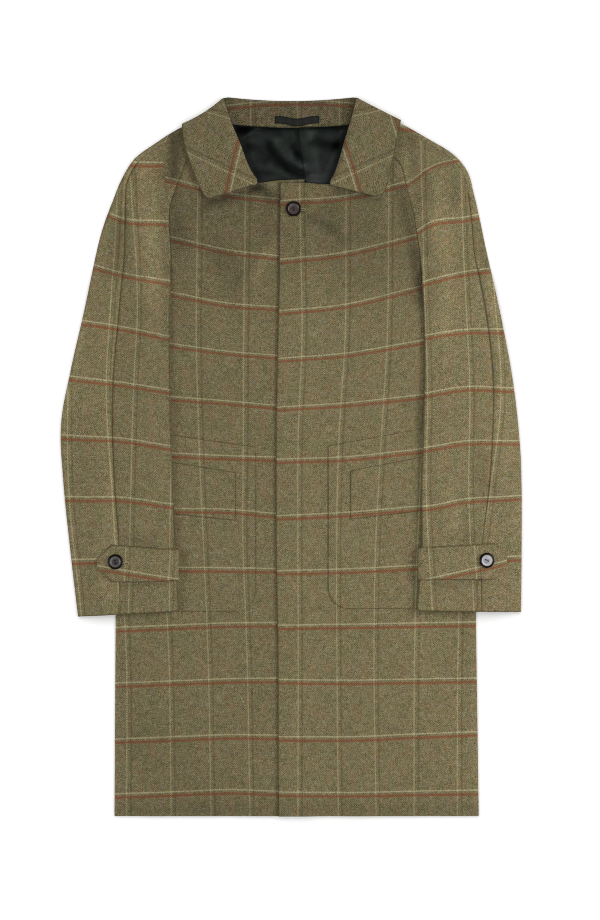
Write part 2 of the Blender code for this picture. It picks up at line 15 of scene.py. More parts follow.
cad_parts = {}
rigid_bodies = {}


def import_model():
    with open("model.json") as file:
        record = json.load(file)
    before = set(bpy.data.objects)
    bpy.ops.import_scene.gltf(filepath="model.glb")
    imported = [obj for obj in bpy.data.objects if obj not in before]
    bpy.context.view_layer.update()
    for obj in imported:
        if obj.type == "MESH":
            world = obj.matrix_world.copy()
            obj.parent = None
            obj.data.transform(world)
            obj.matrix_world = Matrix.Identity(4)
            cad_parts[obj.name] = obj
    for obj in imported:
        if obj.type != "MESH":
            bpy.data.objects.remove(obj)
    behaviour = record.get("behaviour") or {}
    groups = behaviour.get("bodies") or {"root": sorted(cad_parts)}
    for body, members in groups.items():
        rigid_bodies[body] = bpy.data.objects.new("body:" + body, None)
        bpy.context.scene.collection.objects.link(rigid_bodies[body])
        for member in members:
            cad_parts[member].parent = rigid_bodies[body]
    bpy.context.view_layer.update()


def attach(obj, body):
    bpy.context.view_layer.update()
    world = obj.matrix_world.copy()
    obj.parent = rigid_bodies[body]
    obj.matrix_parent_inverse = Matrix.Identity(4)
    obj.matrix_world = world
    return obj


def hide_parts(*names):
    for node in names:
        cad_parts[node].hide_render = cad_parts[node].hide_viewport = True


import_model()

MM = 0.001
BODY = "root"
CLOTH_MAP = "cloth"
INSET = "inset"
PAINTED_SHADING = "painted_shading"

# Walls of the cloth, and gaps between its layers
WOOL = 2.0
POCKET_CLOTH = 1.2
LINING_CLOTH = 1.0
TAPE = 1.0
SEAM_GAP = 0.3
LAYER_GAP = 0.6
OVER_BODY_GAP = 0.9
CURL_GAP = 0.55
LEAF_GAP = 0.9
STRAP_GAP = 0.8
LAP_GAP = 0.9
FLY_FULL = 0.8

# Outline of the body below the armholes
BodyRow = namedtuple("BodyRow", "y left_x right_x")
BODY_SIDES = [
    BodyRow(-520.7, -255.6, 271.9),
    BodyRow(-231.0, -253.9, 267.7),
    BodyRow(0.0, -250.5, 263.0),
    BodyRow(200.0, -245.0, 257.5),
    BodyRow(231.0, -243.0, 255.0),
]
ARMPIT_Y = 245.0
HEM_Y = BODY_SIDES[0].y
LAP_FLAT_X = 19.0
LAP_FADE_X = 44.0

# Raglan sleeves: outer edge, inner edge, and the overarm seam's distance in from the outer edge
SleeveRow = namedtuple("SleeveRow", "outer_x outer_y inner_x inner_y seam_in")
SLEEVE_LEFT = [
    SleeveRow(-108.0, 494.0, -100.0, 462.0, 6.0),
    SleeveRow(-158.0, 475.6, -148.0, 430.0, 6.0),
    SleeveRow(-199.0, 450.2, -159.0, 409.0, 6.0),
    SleeveRow(-226.5, 429.2, -167.0, 388.0, 6.0),
    SleeveRow(-245.0, 399.6, -175.0, 363.0, 8.5),
    SleeveRow(-256.4, 371.6, -176.5, 334.0, 18.4),
    SleeveRow(-269.2, 338.0, -174.0, 295.0, 31.2),
    SleeveRow(-279.8, 300.0, -174.5, 258.0, 40.8),
    SleeveRow(-297.6, 215.0, -175.8, 184.0, 50.3),
    SleeveRow(-318.1, 125.0, -175.0, 105.0, 62.1),
    SleeveRow(-332.2, 45.0, -173.6, 30.0, 75.1),
    SleeveRow(-328.5, -40.0, -171.2, -45.0, 74.0),
    SleeveRow(-318.2, -140.0, -166.5, -136.0, 70.5),
    SleeveRow(-307.4, -231.6, -163.0, -223.2, 58.9),
]
SLEEVE_RIGHT = [
    SleeveRow(118.0, 497.0, 108.0, 464.0, 6.0),
    SleeveRow(158.0, 481.2, 155.0, 426.0, 6.0),
    SleeveRow(196.0, 460.0, 165.0, 401.0, 6.0),
    SleeveRow(233.6, 437.0, 171.0, 377.0, 6.0),
    SleeveRow(254.5, 412.0, 177.5, 352.0, 6.0),
    SleeveRow(263.4, 382.0, 182.0, 326.0, 8.0),
    SleeveRow(272.6, 343.0, 186.6, 296.0, 12.0),
    SleeveRow(282.2, 297.0, 189.5, 262.0, 17.0),
    SleeveRow(302.5, 205.0, 193.0, 186.0, 20.0),
    SleeveRow(320.0, 112.0, 193.0, 104.0, 28.0),
    SleeveRow(330.0, 25.0, 191.0, 25.0, 39.2),
    SleeveRow(333.0, -45.0, 188.6, -45.0, 47.0),
    SleeveRow(333.0, -140.0, 189.0, -135.0, 57.5),
    SleeveRow(332.2, -225.0, 182.0, -222.6, 57.1),
]
ARMHOLE_ROW = 6
SLEEVE_STEP = 4.5
OVERARM_TOP_LEFT = 430.0
OVERARM_TOP_RIGHT = 388.0
OVERARM_FADE = 16.0

# Front necklines, from the raglan seam to the centre edge, and the back neck
NECK_LEFT = [
    (-100, 462),
    (-97, 458),
    (-90, 434),
    (-75, 407),
    (-52, 396.4),
    (-19, 399.6),
    (19.6, 401.4),
]
NECK_RIGHT = [
    (108, 464),
    (105, 460),
    (98, 436),
    (84, 412),
    (60, 395),
    (20, 396),
    (-15.4, 396.8),
]
# Front edges from the hem up: the one underneath straight, the lapped one a little bowed
UNDER_EDGE = [(19.6, -530.0), (19.6, 410.0)]
LAP_EDGE = [
    (-18, -530),
    (-18.6, -376),
    (-18.9, -273),
    (-21.1, -158),
    (-21.4, -52),
    (-21.4, 35),
    (-20, 118),
    (-18.5, 191),
    (-17, 254),
    (-16.6, 330),
    (-15, 410),
]
BACK_NECK_Y = 477.0
BACK_NECK_LEFT_X = -88.0
BACK_NECK_RIGHT_X = 90.0

# Collar: the roll line and the outer edge, from a leaf's front end to where it turns under
CollarRow = namedtuple("CollarRow", "roll_x roll_y edge_x edge_y")
LEAF_LEFT = [
    CollarRow(-52.5, 393.4, -114.0, 373.4),
    CollarRow(-49.4, 396.4, -121.5, 373.2),
    CollarRow(-50.2, 400.8, -126.0, 378.0),
    CollarRow(-56.6, 410.0, -131.6, 388.6),
    CollarRow(-63.6, 424.0, -138.6, 404.6),
    CollarRow(-74.6, 453.0, -149.5, 434.0),
    CollarRow(-87.5, 484.0, -156.0, 460.0),
    CollarRow(-97.4, 517.2, -157.6, 479.8),
]
LEAF_RIGHT = [
    CollarRow(61.0, 391.6, 117.5, 377.1),
    CollarRow(57.6, 394.6, 129.0, 377.8),
    CollarRow(58.4, 399.8, 135.4, 382.4),
    CollarRow(64.2, 411.0, 138.0, 390.0),
    CollarRow(70.8, 430.0, 142.2, 406.0),
    CollarRow(79.2, 460.0, 149.0, 437.0),
    CollarRow(87.8, 488.0, 154.6, 466.0),
    CollarRow(94.4, 517.6, 158.6, 485.4),
]
FALL_BACK = [
    CollarRow(-60.0, 514.2, -85.0, 459.5),
    CollarRow(0.0, 512.6, 0.0, 450.0),
    CollarRow(60.0, 515.0, 85.0, 461.0),
]
ROLL_LIFT = 4.0
ROLL_FADE_START = 0.5
LEAF_STEP = 3.0
LEAF_COLUMNS = 28
COLLAR_TURN_STEPS = 14
LEAF_LEFT_HOLLOW = 3.2
LEAF_RIGHT_HOLLOW = 0.6
HOLLOW_FROM = 0.7
TURN_REACH = 0.2
TURN_CORNER = 4.0
TURN_TOP_CUT = 0.6
TURN_TOP_CORNER = 9.0

# Collar stand seen inside the back neck, and the hanger loop on it
STAND_BOTTOM_Y = 477.6
STAND_BOTTOM_BOW = 3.0
STAND_BOTTOM_HALF = 86.0
STAND_TOP_Y = 512.8
STAND_TOP_BOW = 6.2
STAND_END_X = 90.0
STAND_END_DROP = 2.0
STAND_TOP_HALF = 98.0
STAND_ROWS = 12
STAND_COLUMNS = 60
STAND_ROLL_STEPS = 8
LOOP_LEFT_X = -23.0
LOOP_RIGHT_X = 41.0
LOOP_BOTTOM_Y = 481.8
LOOP_WIDTH = 10.8
LOOP_SLACK = 1.4
LOOP_SAG = 3.2
LOOP_WAVE = 0.7
LOOP_WAVES = 3.0
LOOP_COLUMNS = 40
LOOP_ROWS = 10

# Lining, with a pleat down the centre back whose right half lies over the left
LiningRow = namedtuple("LiningRow", "y left_x pleat_x right_x")
LINING_ROWS = [
    LiningRow(384.0, -70.0, 23.0, 74.0),
    LiningRow(405.0, -73.0, 20.5, 77.0),
    LiningRow(430.0, -77.0, 16.5, 80.0),
    LiningRow(455.0, -81.0, 12.8, 83.0),
    LiningRow(476.4, -84.0, 10.5, 85.0),
]
LINING_TOP_BOW = 4.4
LINING_HALF = 85.0
PLEAT_UNDERLAP = 11.0
PLEAT_FLAT = 13.0
PLEAT_FADE = 32.0
PLEAT_STAND = 2.0

# Pockets: a patch with one round lower corner, and a slanted welt on it, from the hidden outer side
Pocket = namedtuple("Pocket", "outer_x outer_top inner_x inner_top bottom_y corner")
POCKET_LEFT = Pocket(-228.0, 39.0, -51.6, 13.5, -224.0, 30.0)
POCKET_RIGHT = Pocket(240.0, 49.5, 54.0, 15.5, -219.7, 30.0)
Welt = namedtuple("Welt", "outer_x outer_top outer_bottom inner_x inner_top inner_bottom")
WELT_LEFT = Welt(-200.0, -3.5, -80.0, -80.0, -23.0, -92.5)
WELT_RIGHT = Welt(212.0, 4.0, -76.0, 86.3, -20.5, -91.0)

# Cuff straps, from the point to the end that turns round the sleeve's inner edge
StrapRow = namedtuple("StrapRow", "x top_y bottom_y")
STRAP_LEFT = [
    StrapRow(-280.0, -148.6, -157.0),
    StrapRow(-258.5, -127.5, -181.0),
    StrapRow(-226.0, -129.2, -181.0),
    StrapRow(-187.0, -133.0, -180.0),
    StrapRow(-170.0, -133.0, -179.2),
    StrapRow(-162.0, -133.0, -178.6),
]
STRAP_RIGHT = [
    StrapRow(312.0, -145.0, -152.0),
    StrapRow(295.0, -125.0, -177.5),
    StrapRow(255.0, -127.5, -177.5),
    StrapRow(215.0, -129.5, -177.5),
    StrapRow(193.0, -130.5, -177.5),
    StrapRow(184.0, -131.5, -177.5),
]

# Buttons
BUTTON_RADIUS = 11.0
TOP_BUTTON = (4.0, 357.6)
CUFF_BUTTON_LEFT = (-252.8, -151.7)
CUFF_BUTTON_RIGHT = (282.0, -149.6)

# Heights: how the layers rise over each other
COLLAR_LIFT = WOOL + LAYER_GAP
NECK_RISE_START = 372.0
NECK_RISE_END = 438.0
SIDE_SPREAD = WOOL + SEAM_GAP
NECK_SPREAD = 5.1
SPREAD_START = 275.0
SPREAD_END = 383.0
BODY_LOFT = 2.0
BODY_MIDDLE_X = 7.2
BODY_HALF_WIDTH = 264.0
LOFT_NONE_Y = 290.0
LOFT_FULL_Y = 150.0
COVER_FULL = 7.0
COVER_NONE = 62.0
COVER_ABOVE_SCALE = 1.5
PATCH_LAYER = 1
WELT_LAYER = 2
POCKET_RISE = WELT_LAYER * (POCKET_CLOTH + SEAM_GAP) + SEAM_GAP
POCKET_RISE_START_Y = 112.0
POCKET_RISE_END_Y = 62.0
SLEEVE_TUBE = 5.0
TUBE_SHUT_Y = 290.0
TUBE_OPEN_Y = 235.0

# Soft ridges and hollows in the cloth: a line of places, how wide, and how high or deep
Crease = namedtuple("Crease", "places width height")
BODY_CREASES = [
    Crease([(-25, 316), (-48, 267), (-72, 214)], 13, 2.6),
    Crease([(-112, 303), (-84, 250)], 16, -2.4),
    Crease([(147, 378), (164, 320), (178, 258)], 14, -2.6),
    Crease([(62, 320), (96, 256)], 18, 1.5),
    Crease([(40, 250), (58, 190)], 18, -1.2),
    Crease([(-120, 180), (-108, 60)], 20, 1.4),
    Crease([(110, 150), (118, 70)], 18, 1.3),
    Crease([(-205, -270), (-196, -505)], 22, 1.6),
    Crease([(-85, -300), (-92, -520)], 20, -1.2),
    Crease([(95, -290), (100, -520)], 22, 1.5),
    Crease([(210, -250), (202, -500)], 20, -1.2),
]
SLEEVE_LEFT_CREASES = [
    Crease([(-202, 372), (-202, 299), (-205, 222)], 15, 4),
    Crease([(-246, 356), (-254, 274)], 10, -1.8),
    Crease([(-178, 53), (-248, 82)], 10, -1.4),
    Crease([(-190, -8), (-245, -18)], 11, 1.3),
    Crease([(-204, -121), (-200, -66)], 10, -2.4),
    Crease([(-227, -114), (-222, -50)], 10, 1.7),
    Crease([(-290, 20), (-283, -70)], 16, 1.4),
    Crease([(-180, 462), (-172, 432), (-172, 400)], 10, -2.6),
]
SLEEVE_RIGHT_CREASES = [
    Crease([(214, 356), (217, 290), (220, 228)], 15, 3.6),
    Crease([(270, 334), (279, 272)], 9, -1.8),
    Crease([(196, 60), (262, 84)], 10, -1.4),
    Crease([(245, -118), (242, -58)], 10, -2.4),
    Crease([(222, -112), (219, -40)], 10, 1.7),
    Crease([(276, -6), (272, -86)], 12, -1.9),
    Crease([(306, 60), (309, -60)], 14, 1.3),
    Crease([(176, 425), (186, 392)], 10, -1.8),
]
# Painted light and painted shade on the tweed, where its colour is drawn lighter or darker: a line of
# places, how wide, and how much
PaintedShading = namedtuple("PaintedShading", "places width amount")
PAINTED_SHADING_LEAST = 0.12
BODY_PAINTED_SHADING = [
    PaintedShading([(-150, 335), (150, 335)], 80, -0.2),
    PaintedShading([(-120, 368), (-85, 377), (-44, 391)], 8, -0.36),
    PaintedShading([(-126, 362), (-60, 376)], 16, -0.14),
    PaintedShading([(66, 385), (126, 373)], 7, -0.3),
    PaintedShading([(30, 346), (57, 331), (79, 313)], 9, -0.2),
    PaintedShading([(160, 388), (172, 336), (184, 278), (188, 227)], 12, -0.22),
    PaintedShading([(182, 294), (186, 227)], 9, -0.18),
    PaintedShading([(-146, 314), (-110, 292), (-81, 263), (-74, 241)], 20, -0.16),
    PaintedShading([(-26, 307), (-48, 270), (-67, 241)], 9, 0.2),
    PaintedShading([(60, 360), (120, 270)], 50, -0.1),
    PaintedShading([(-172, 390), (-167, 350), (-169, 314)], 13, -0.2),
    PaintedShading([(-170, 300), (-170, 150)], 9, -0.08),
    PaintedShading([(190, 190), (191, -121)], 8, 0.08),
    PaintedShading([(-256, -511), (271, -511)], 12, -0.16),
    PaintedShading([(-254, -236), (-255.4, -516)], 3.5, 0.16),
    PaintedShading([(266.5, -236), (270.6, -516)], 7, 0.13),
    PaintedShading([(-33, 378), (-33, 304)], 7, -0.12),
    PaintedShading([(-50, 389), (-21, 373)], 9, -0.34),
    PaintedShading([(6, 395), (54, 393)], 4, -0.14),
    PaintedShading([(-136, 326), (-134, 286)], 13, 0.12),
    PaintedShading([(72, 330), (90, 300)], 12, 0.08),
    PaintedShading([(-205, -410), (-130, -485)], 50, -0.09),
    PaintedShading([(190, -252), (255, -475)], 40, 0.06),
]
SLEEVE_LEFT_PAINTED_SHADING = [
    PaintedShading([(-212, 418), (-208, 328), (-207, 240)], 17, 0.32),
    PaintedShading([(-188, 408), (-184, 340), (-183, 270)], 8, -0.1),
    PaintedShading([(-240, 396), (-240, 362)], 8, 0.2),
    PaintedShading([(-199, 342), (-198, 262)], 9, 0.1),
    PaintedShading([(-296, 215), (-316.4, 125), (-330.4, 45)], 6, 0.15),
    PaintedShading([(-166, 478), (-168, 446), (-170, 408)], 12, -0.55),
    PaintedShading([(-245, 374), (-252, 321), (-259, 268)], 12, -0.22),
    PaintedShading([(-175, 227), (-170, -121)], 7, -0.1),
    PaintedShading([(-232, -120), (-199, -122)], 9, -0.2),
    PaintedShading([(-250, 340), (-252, 295)], 9, -0.12),
    PaintedShading([(-241, -185), (-183, -182)], 6, -0.2),
    PaintedShading([(-304, 40), (-298, -60), (-288, -220)], 34, -0.1),
]
SLEEVE_RIGHT_PAINTED_SHADING = [
    PaintedShading([(208, 352), (216, 285), (224, 180)], 20, 0.16),
    PaintedShading([(273, 328), (281, 278)], 8, -0.2),
    PaintedShading([(274, -5), (274, -40)], 16, -0.14),
    PaintedShading([(233, -117), (262, -116)], 9, -0.16),
    PaintedShading([(273, 265), (284, 200), (294, 130), (295, 80)], 4, -0.18),
    PaintedShading([(209, -183), (274, -182)], 6, -0.18),
    PaintedShading([(314, -20), (312, -220)], 22, -0.06),
    PaintedShading([(216, 426), (216, 380)], 24, -0.07),
    PaintedShading([(197, 406), (200, 369)], 8, -0.15),
    PaintedShading([(216, 404), (216, 372)], 9, 0.12),
    PaintedShading([(238, 400), (238, 366)], 8, -0.15),
    PaintedShading([(158, 468), (155, 422), (148, 396)], 8, -0.26),
    PaintedShading(
        [(172, 463), (180, 420), (180, 394), (187, 352), (193, 318), (194, 296)],
        9.0,
        -0.27,
    ),
    PaintedShading([(176, 458), (208, 446)], 10, -0.14),
    PaintedShading([(290, -60), (292, -215)], 36, -0.07),
    PaintedShading([(225, -190), (270, -215)], 18, -0.06),
]
LINING_CREASES = [
    Crease([(-44, 471), (-19, 456), (-9, 444), (1, 431), (16, 421)], 7, 3),
    Crease([(-34, 447), (-19, 429), (-4, 415), (15, 409)], 7, -2),
    Crease([(6, 440), (8, 432)], 6, -1.6),
    Crease([(-32, 424), (-8, 409)], 6, 1.6),
    Crease([(-62, 449), (-52, 450)], 7, -1.2),
    Crease([(32, 459), (66, 450)], 8, -1.6),
    Crease([(24, 470), (26, 445), (30, 410)], 9, 1),
]
# Where the satin gleams or stays dark
LINING_GLEAM = [
    PaintedShading([(-44, 471), (-27, 461), (-19, 456)], 6, 0.4),
    PaintedShading([(-19, 456), (-10, 444), (0, 431), (15, 421)], 5, 0.85),
    PaintedShading([(-4, 463), (3, 460)], 8, 0.4),
    PaintedShading([(-33, 450), (-19, 431), (-4, 416), (16, 409)], 9, -0.6),
    PaintedShading([(4, 445), (12, 434)], 7.5, -0.7),
    PaintedShading([(8, 470), (9, 458)], 3.5, -0.5),
    PaintedShading([(-77, 477), (-60, 474)], 5, -0.65),
    PaintedShading([(-76, 470), (-66, 468)], 5, -0.6),
    PaintedShading([(-71.4, 460), (-48, 473.6)], 1.8, 0.8),
    PaintedShading([(-40, 475), (4, 475)], 3.5, -0.6),
    PaintedShading([(-66, 457), (-44, 455)], 7, 0.3),
    PaintedShading([(-62, 450), (-55, 450)], 5, -0.5),
    PaintedShading([(-55, 436), (-36, 424)], 11, 0.4),
    PaintedShading([(-32, 424), (-8, 409)], 4, 0.5),
    PaintedShading([(-50, 412), (-32, 410)], 5, -0.4),
    PaintedShading([(20, 468), (25, 440), (31, 402)], 11, 0.6),
    PaintedShading([(-50, 455), (-6, 424)], 36, -0.13),
    PaintedShading([(24, 468), (62, 465)], 5, 0.2),
    PaintedShading([(34, 456), (66, 450)], 9, -0.62),
    PaintedShading([(36, 432), (58, 430), (46, 406)], 13, 0.22),
    PaintedShading([(14, 475), (80, 476)], 3, -0.6),
    PaintedShading([(72, 466), (63, 444), (53, 410)], 5.5, -0.4),
]
LINING_PUFF = 2.2

# The tuck in the left shoulder, where the sleeve's cloth stands over the cloth beside the raglan seam
TUCK = [
    (-186, 447),
    (-182.7, 423),
    (-183.7, 407),
    (-183.1, 391),
    (-181, 376),
    (-175.2, 362),
]
TUCK_HEIGHT = 3.4
TUCK_CREST = 14.0
TUCK_FALL = 2.2
TUCK_FADE = 26.0
TUCK_RISES_BY = 0.3
TUCK_SINKS_FROM = 0.85
TUCK_LINE = 0.5
TUCK_FAINT = 1.7
TUCK_SHOWS_FROM = 0.15

# Sewn edges
SEAM_WIDTH = 4.0
RAGLAN_FAINT = 1.5
SEAM_DIP = 1.5
DIP_NONE_Y = 285.0
DIP_FULL_Y = 350.0
FAR_INSIDE = 50.0
EDGE_STEPS = (0.0, 0.7, 1.6, 2.8, 4.5)
EDGE_ROUND = 0.42
EDGE_SEGMENTS = 2
EDGE_ANGLE = math.radians(55.0)


def ease(value, start, end):
    """0 at start and 1 at end, smooth between them; start may be above end."""
    part = np.clip((np.asarray(value, float) - start) / (end - start), 0.0, 1.0)
    return part * part * (3.0 - 2.0 * part)


def between(first, last, part):
    return first + (last - first) * part


def x_at(y, places):
    """Where a line of places, given from the lowest up, is at each y."""
    return np.interp(y, [place[1] for place in places], [place[0] for place in places])


def line_distance(x, y, places):
    """Distance to a line of places, and how far along it the nearest spot is, from 0 to 1."""
    nearest = np.full(np.shape(x), np.inf)
    along = np.zeros(np.shape(x))
    last = len(places) - 1
    for number, (start, end) in enumerate(zip(places, places[1:])):
        way_x, way_y = end[0] - start[0], end[1] - start[1]
        part = ((x - start[0]) * way_x + (y - start[1]) * way_y) / (way_x ** 2 + way_y ** 2)
        part = np.clip(part, 0.0, 1.0)
        distance = np.hypot(x - start[0] - part * way_x, y - start[1] - part * way_y)
        along = np.where(distance < nearest, (number + part) / last, along)
        nearest = np.minimum(distance, nearest)
    return nearest, along


def soft_strokes(x, y, strokes):
    """The sum of soft strokes, each along a line of places, so wide, and so strong on its line."""
    total = np.zeros(np.shape(x))
    for places, width, strength in strokes:
        distance = line_distance(x, y, places)[0]
        total = total + strength * np.exp(-((distance / width) ** 2))
    return total


def painted_shading_level(x, y, painted_strokes):
    """How much painted light and painted shade lighten or darken the cloth, 1 where none is painted."""
    return np.maximum(1.0 + soft_strokes(x, y, painted_strokes), PAINTED_SHADING_LEAST)


# Heights of the layers

def back_height(x, y):
    rise = COLLAR_LIFT * ease(y, NECK_RISE_START, NECK_RISE_END)
    return np.full(np.shape(x), WOOL / 2.0) + rise


def spread(y):
    """How far apart the upper and the lower layer lie."""
    return between(SIDE_SPREAD, NECK_SPREAD, ease(y, SPREAD_START, SPREAD_END))


def front_height(x, y):
    across = (x - BODY_MIDDLE_X) / BODY_HALF_WIDTH
    loft = BODY_LOFT * np.clip(1.0 - across * across, 0.0, 1.0) * ease(y, LOFT_NONE_Y, LOFT_FULL_Y)
    return back_height(x, y) + spread(y) + loft


def side_edge(y, side):
    edges = [row.left_x if side < 0 else row.right_x for row in BODY_SIDES]
    return np.interp(y, [row.y for row in BODY_SIDES], edges)


CREASE_SIDE_FADE = 18.0
CHEST_FULL = 2.6
CHEST_FULL_REACH = 60.0
CHEST_FULL_FROM_Y = 60.0
CHEST_FULL_TO_Y = 210.0
CHEST_FLAT_FROM_Y = 330.0
CHEST_FLAT_TO_Y = 392.0
SEAM_LINE_FROM_Y = 120.0
SEAM_LINE_TO_Y = 250.0


def draped(x, y):
    """What the chest's fullness and the creases add to the fronts, fading out at their sides and seams."""
    sewn = ease(y, SEAM_LINE_FROM_Y, SEAM_LINE_TO_Y)
    left = between(side_edge(y, -1), sleeve_edges(y, -1)[1], sewn)
    right = between(side_edge(y, 1), sleeve_edges(y, 1)[1], sewn)
    inside = np.minimum(x - left, right - x)
    high = ease(y, CHEST_FULL_FROM_Y, CHEST_FULL_TO_Y) * (1.0 - ease(y, CHEST_FLAT_FROM_Y, CHEST_FLAT_TO_Y))
    full = CHEST_FULL * ease(inside, 0.0, CHEST_FULL_REACH) * high
    return full + soft_strokes(x, y, BODY_CREASES) * ease(inside, 0.0, CREASE_SIDE_FADE)


def left_front_height(x, y):
    return front_height(x, y) + draped(x, y)


def right_front_height(x, y):
    """The right front, raised where it laps over the left one."""
    lap = (WOOL + LAP_GAP + FLY_FULL) * (1.0 - ease(x, LAP_FLAT_X, LAP_FADE_X))
    return front_height(x, y) + draped(x, y) + lap


def body_cover(x, y, side):
    """1 where a sleeve lies over the body, 0 where it lies on the floor beside it."""
    beside = np.maximum(0.0, side * (x - side_edge(y, side)))
    above = COVER_ABOVE_SCALE * np.maximum(0.0, y - ARMPIT_Y)
    return 1.0 - ease(np.hypot(beside, above), COVER_FULL, COVER_NONE)


def under_sleeve(x, y, side):
    low = back_height(x, y)
    pocket = POCKET_RISE * ease(y, POCKET_RISE_START_Y, POCKET_RISE_END_Y)
    high = front_height(x, y) + np.maximum(0.0, draped(x, y)) + WOOL + OVER_BODY_GAP + pocket
    return between(low, high, body_cover(x, y, side))


def plain_upper_sleeve(x, y, side):
    opened = (SLEEVE_TUBE - SIDE_SPREAD) * ease(y, TUBE_SHUT_Y, TUBE_OPEN_Y)
    return under_sleeve(x, y, side) + spread(y) + opened


SLEEVE_LOFT = 3.4
SLEEVE_LOFT_REACH = 34.0


def sleeve_edges(y, side):
    rows = (SLEEVE_LEFT if side < 0 else SLEEVE_RIGHT)[::-1]
    outer = np.interp(y, [row.outer_y for row in rows], [row.outer_x for row in rows])
    inner = np.interp(y, [row.inner_y for row in rows], [row.inner_x for row in rows])
    return outer, inner


def tuck_side(x, y):
    """Distance behind the tuck's line, below 0 on its outer side, and how far along the line that is."""
    distance, along = line_distance(x, y, TUCK)
    below = y < TUCK[-1][1]
    return np.where((x < x_at(y, TUCK[::-1])) | below, -distance, distance), along


def tuck_height(x, y):
    """The fold in the left shoulder: it swells up to the tuck from the outer side and drops behind it."""
    signed, along = tuck_side(x, y)
    swell = ease(signed, -TUCK_CREST - TUCK_FADE, -TUCK_FALL)
    drop = 1.0 - ease(signed, -TUCK_FALL, 0.0)
    ends = ease(along, 0.0, TUCK_RISES_BY) * (1.0 - ease(along, TUCK_SINKS_FROM, 1.0))
    return TUCK_HEIGHT * swell * drop * ends


def upper_sleeve(x, y, side):
    """The top of a sleeve with its soft fullness and creases, which fade out at its edges."""
    outer, inner = sleeve_edges(y, side)
    inside = np.minimum(np.abs(x - outer), np.abs(inner - x))
    full = SLEEVE_LOFT * ease(inside, 0.0, SLEEVE_LOFT_REACH) * ease(y, TUBE_SHUT_Y, TUBE_OPEN_Y)
    creases = soft_strokes(x, y, SLEEVE_LEFT_CREASES if side < 0 else SLEEVE_RIGHT_CREASES)
    full = full + creases * ease(inside, 0.0, CREASE_SIDE_FADE)
    if side < 0:
        full = full + tuck_height(x, y)
    return plain_upper_sleeve(x, y, side) + full


# The check: where its lines cross the coat, which is how the cloth's own measure runs over each piece

class Check:
    """Counts check lines over a piece: weft lines down from the neck, warp lines to the right.
    weft has a row for each rust line, with its y at each of weft_at's x, and warp a row for each
    pale line, with its x at each of warp_at's y."""

    def __init__(self, weft_at, weft, warp_at, warp, first_warp):
        self.weft_at = weft_at
        self.weft = weft
        self.warp_at = warp_at
        self.warp = warp
        self.first_warp = first_warp

    def count(self, x, y):
        down = counted(y, [bowed(x, self.weft_at, row) for row in self.weft])
        across = self.first_warp + counted(x, [bowed(y, self.warp_at, row) for row in self.warp])
        return np.stack([across, down], axis=-1)

    def with_warp(self, warp):
        """The same weft lines with other warp lines, as on the far side of a seam."""
        return Check(self.weft_at, self.weft, self.warp_at, warp, self.first_warp)


def bowed(place, stations, values):
    """A smooth curve through values at the stations, straight on at its end slope beyond them."""
    order = np.argsort(stations)
    at = np.array(stations, float)[order]
    known = np.array(values, float)[order]
    slopes = np.gradient(known, at)
    spot = np.clip(place, at[0], at[-1])
    gap = np.clip(np.searchsorted(at, spot) - 1, 0, len(at) - 2)
    length = at[gap + 1] - at[gap]
    part = (spot - at[gap]) / length
    rise = ease(part, 0.0, 1.0)
    leaving = slopes[gap] * part * (1.0 - part) ** 2
    arriving = slopes[gap + 1] * part ** 2 * (1.0 - part)
    curve = between(known[gap], known[gap + 1], rise) + length * (leaving - arriving)
    beyond = np.where(place < at[0], (place - at[0]) * slopes[0], (place - at[-1]) * slopes[-1])
    return curve + np.where((place < at[0]) | (place > at[-1]), beyond, 0.0)


def counted(place, lines):
    """How many lines place has passed, with the fraction of the way to the next one."""
    total = np.zeros(np.shape(place))
    last = len(lines) - 2
    for number, (near, far) in enumerate(zip(lines, lines[1:])):
        part = (place - near) / (far - near)
        low = -np.inf if number == 0 else 0.0
        high = np.inf if number == last else 1.0
        total = total + np.clip(part, low, high)
    return total


BODY_WARP_AT = (328, 176, 31, -128, -273, -505)
FRONT_LEFT_CHECK = Check(
    (-168, -88, -26),
    [
        (395, 375, 368),
        (311, 293, 285.5),
        (231.5, 216, 212),
        (157.5, 147, 142),
        (81, 75, 69.5),
        (-1, -4.5, -6),
        (-81, -82, -88),
        (-166.5, -167, -168),
        (-250, -246.5, -246),
        (-330.5, -327.5, -326.5),
        (-411.5, -408.5, -409),
        (-491, -488, -490),
    ],
    BODY_WARP_AT,
    [
        (-264, -262, -258, -248, -239, -238),
        (-203, -202, -198, -186, -177.5, -173.5),
        (-135.5, -137, -133.5, -126.5, -120.5, -116),
        (-66.5, -68.5, -69, -69.5, -64, -59.5),
        (2, 1, -4, -12, -7, -3),
    ],
    0,
)
FRONT_RIGHT_CHECK = Check(
    (-10, 78, 180),
    [
        (364, 371.5, 395.5),
        (279.5, 290, 315),
        (206, 215, 239.5),
        (137.5, 144.5, 161),
        (67, 72.5, 83),
        (-9, -6, 4.5),
        (-91, -86.5, -78),
        (-170.5, -168.5, -163.5),
        (-249.5, -248.5, -247),
        (-328, -329.5, -328),
        (-411, -411.5, -407.5),
        (-491, -492, -490.5),
    ],
    BODY_WARP_AT,
    [
        (13.5, 16, 10.5, 10, 10.5, 10),
        (79.5, 78.5, 69.5, 66, 66.5, 68.5),
        (141, 139.5, 131, 122.5, 120, 123),
        (202, 200, 191, 183, 179, 178),
        (263, 261, 254, 247, 242, 241),
    ],
    4,
)
SLEEVE_WARP_AT = (350, 227, 104, -49, -215)
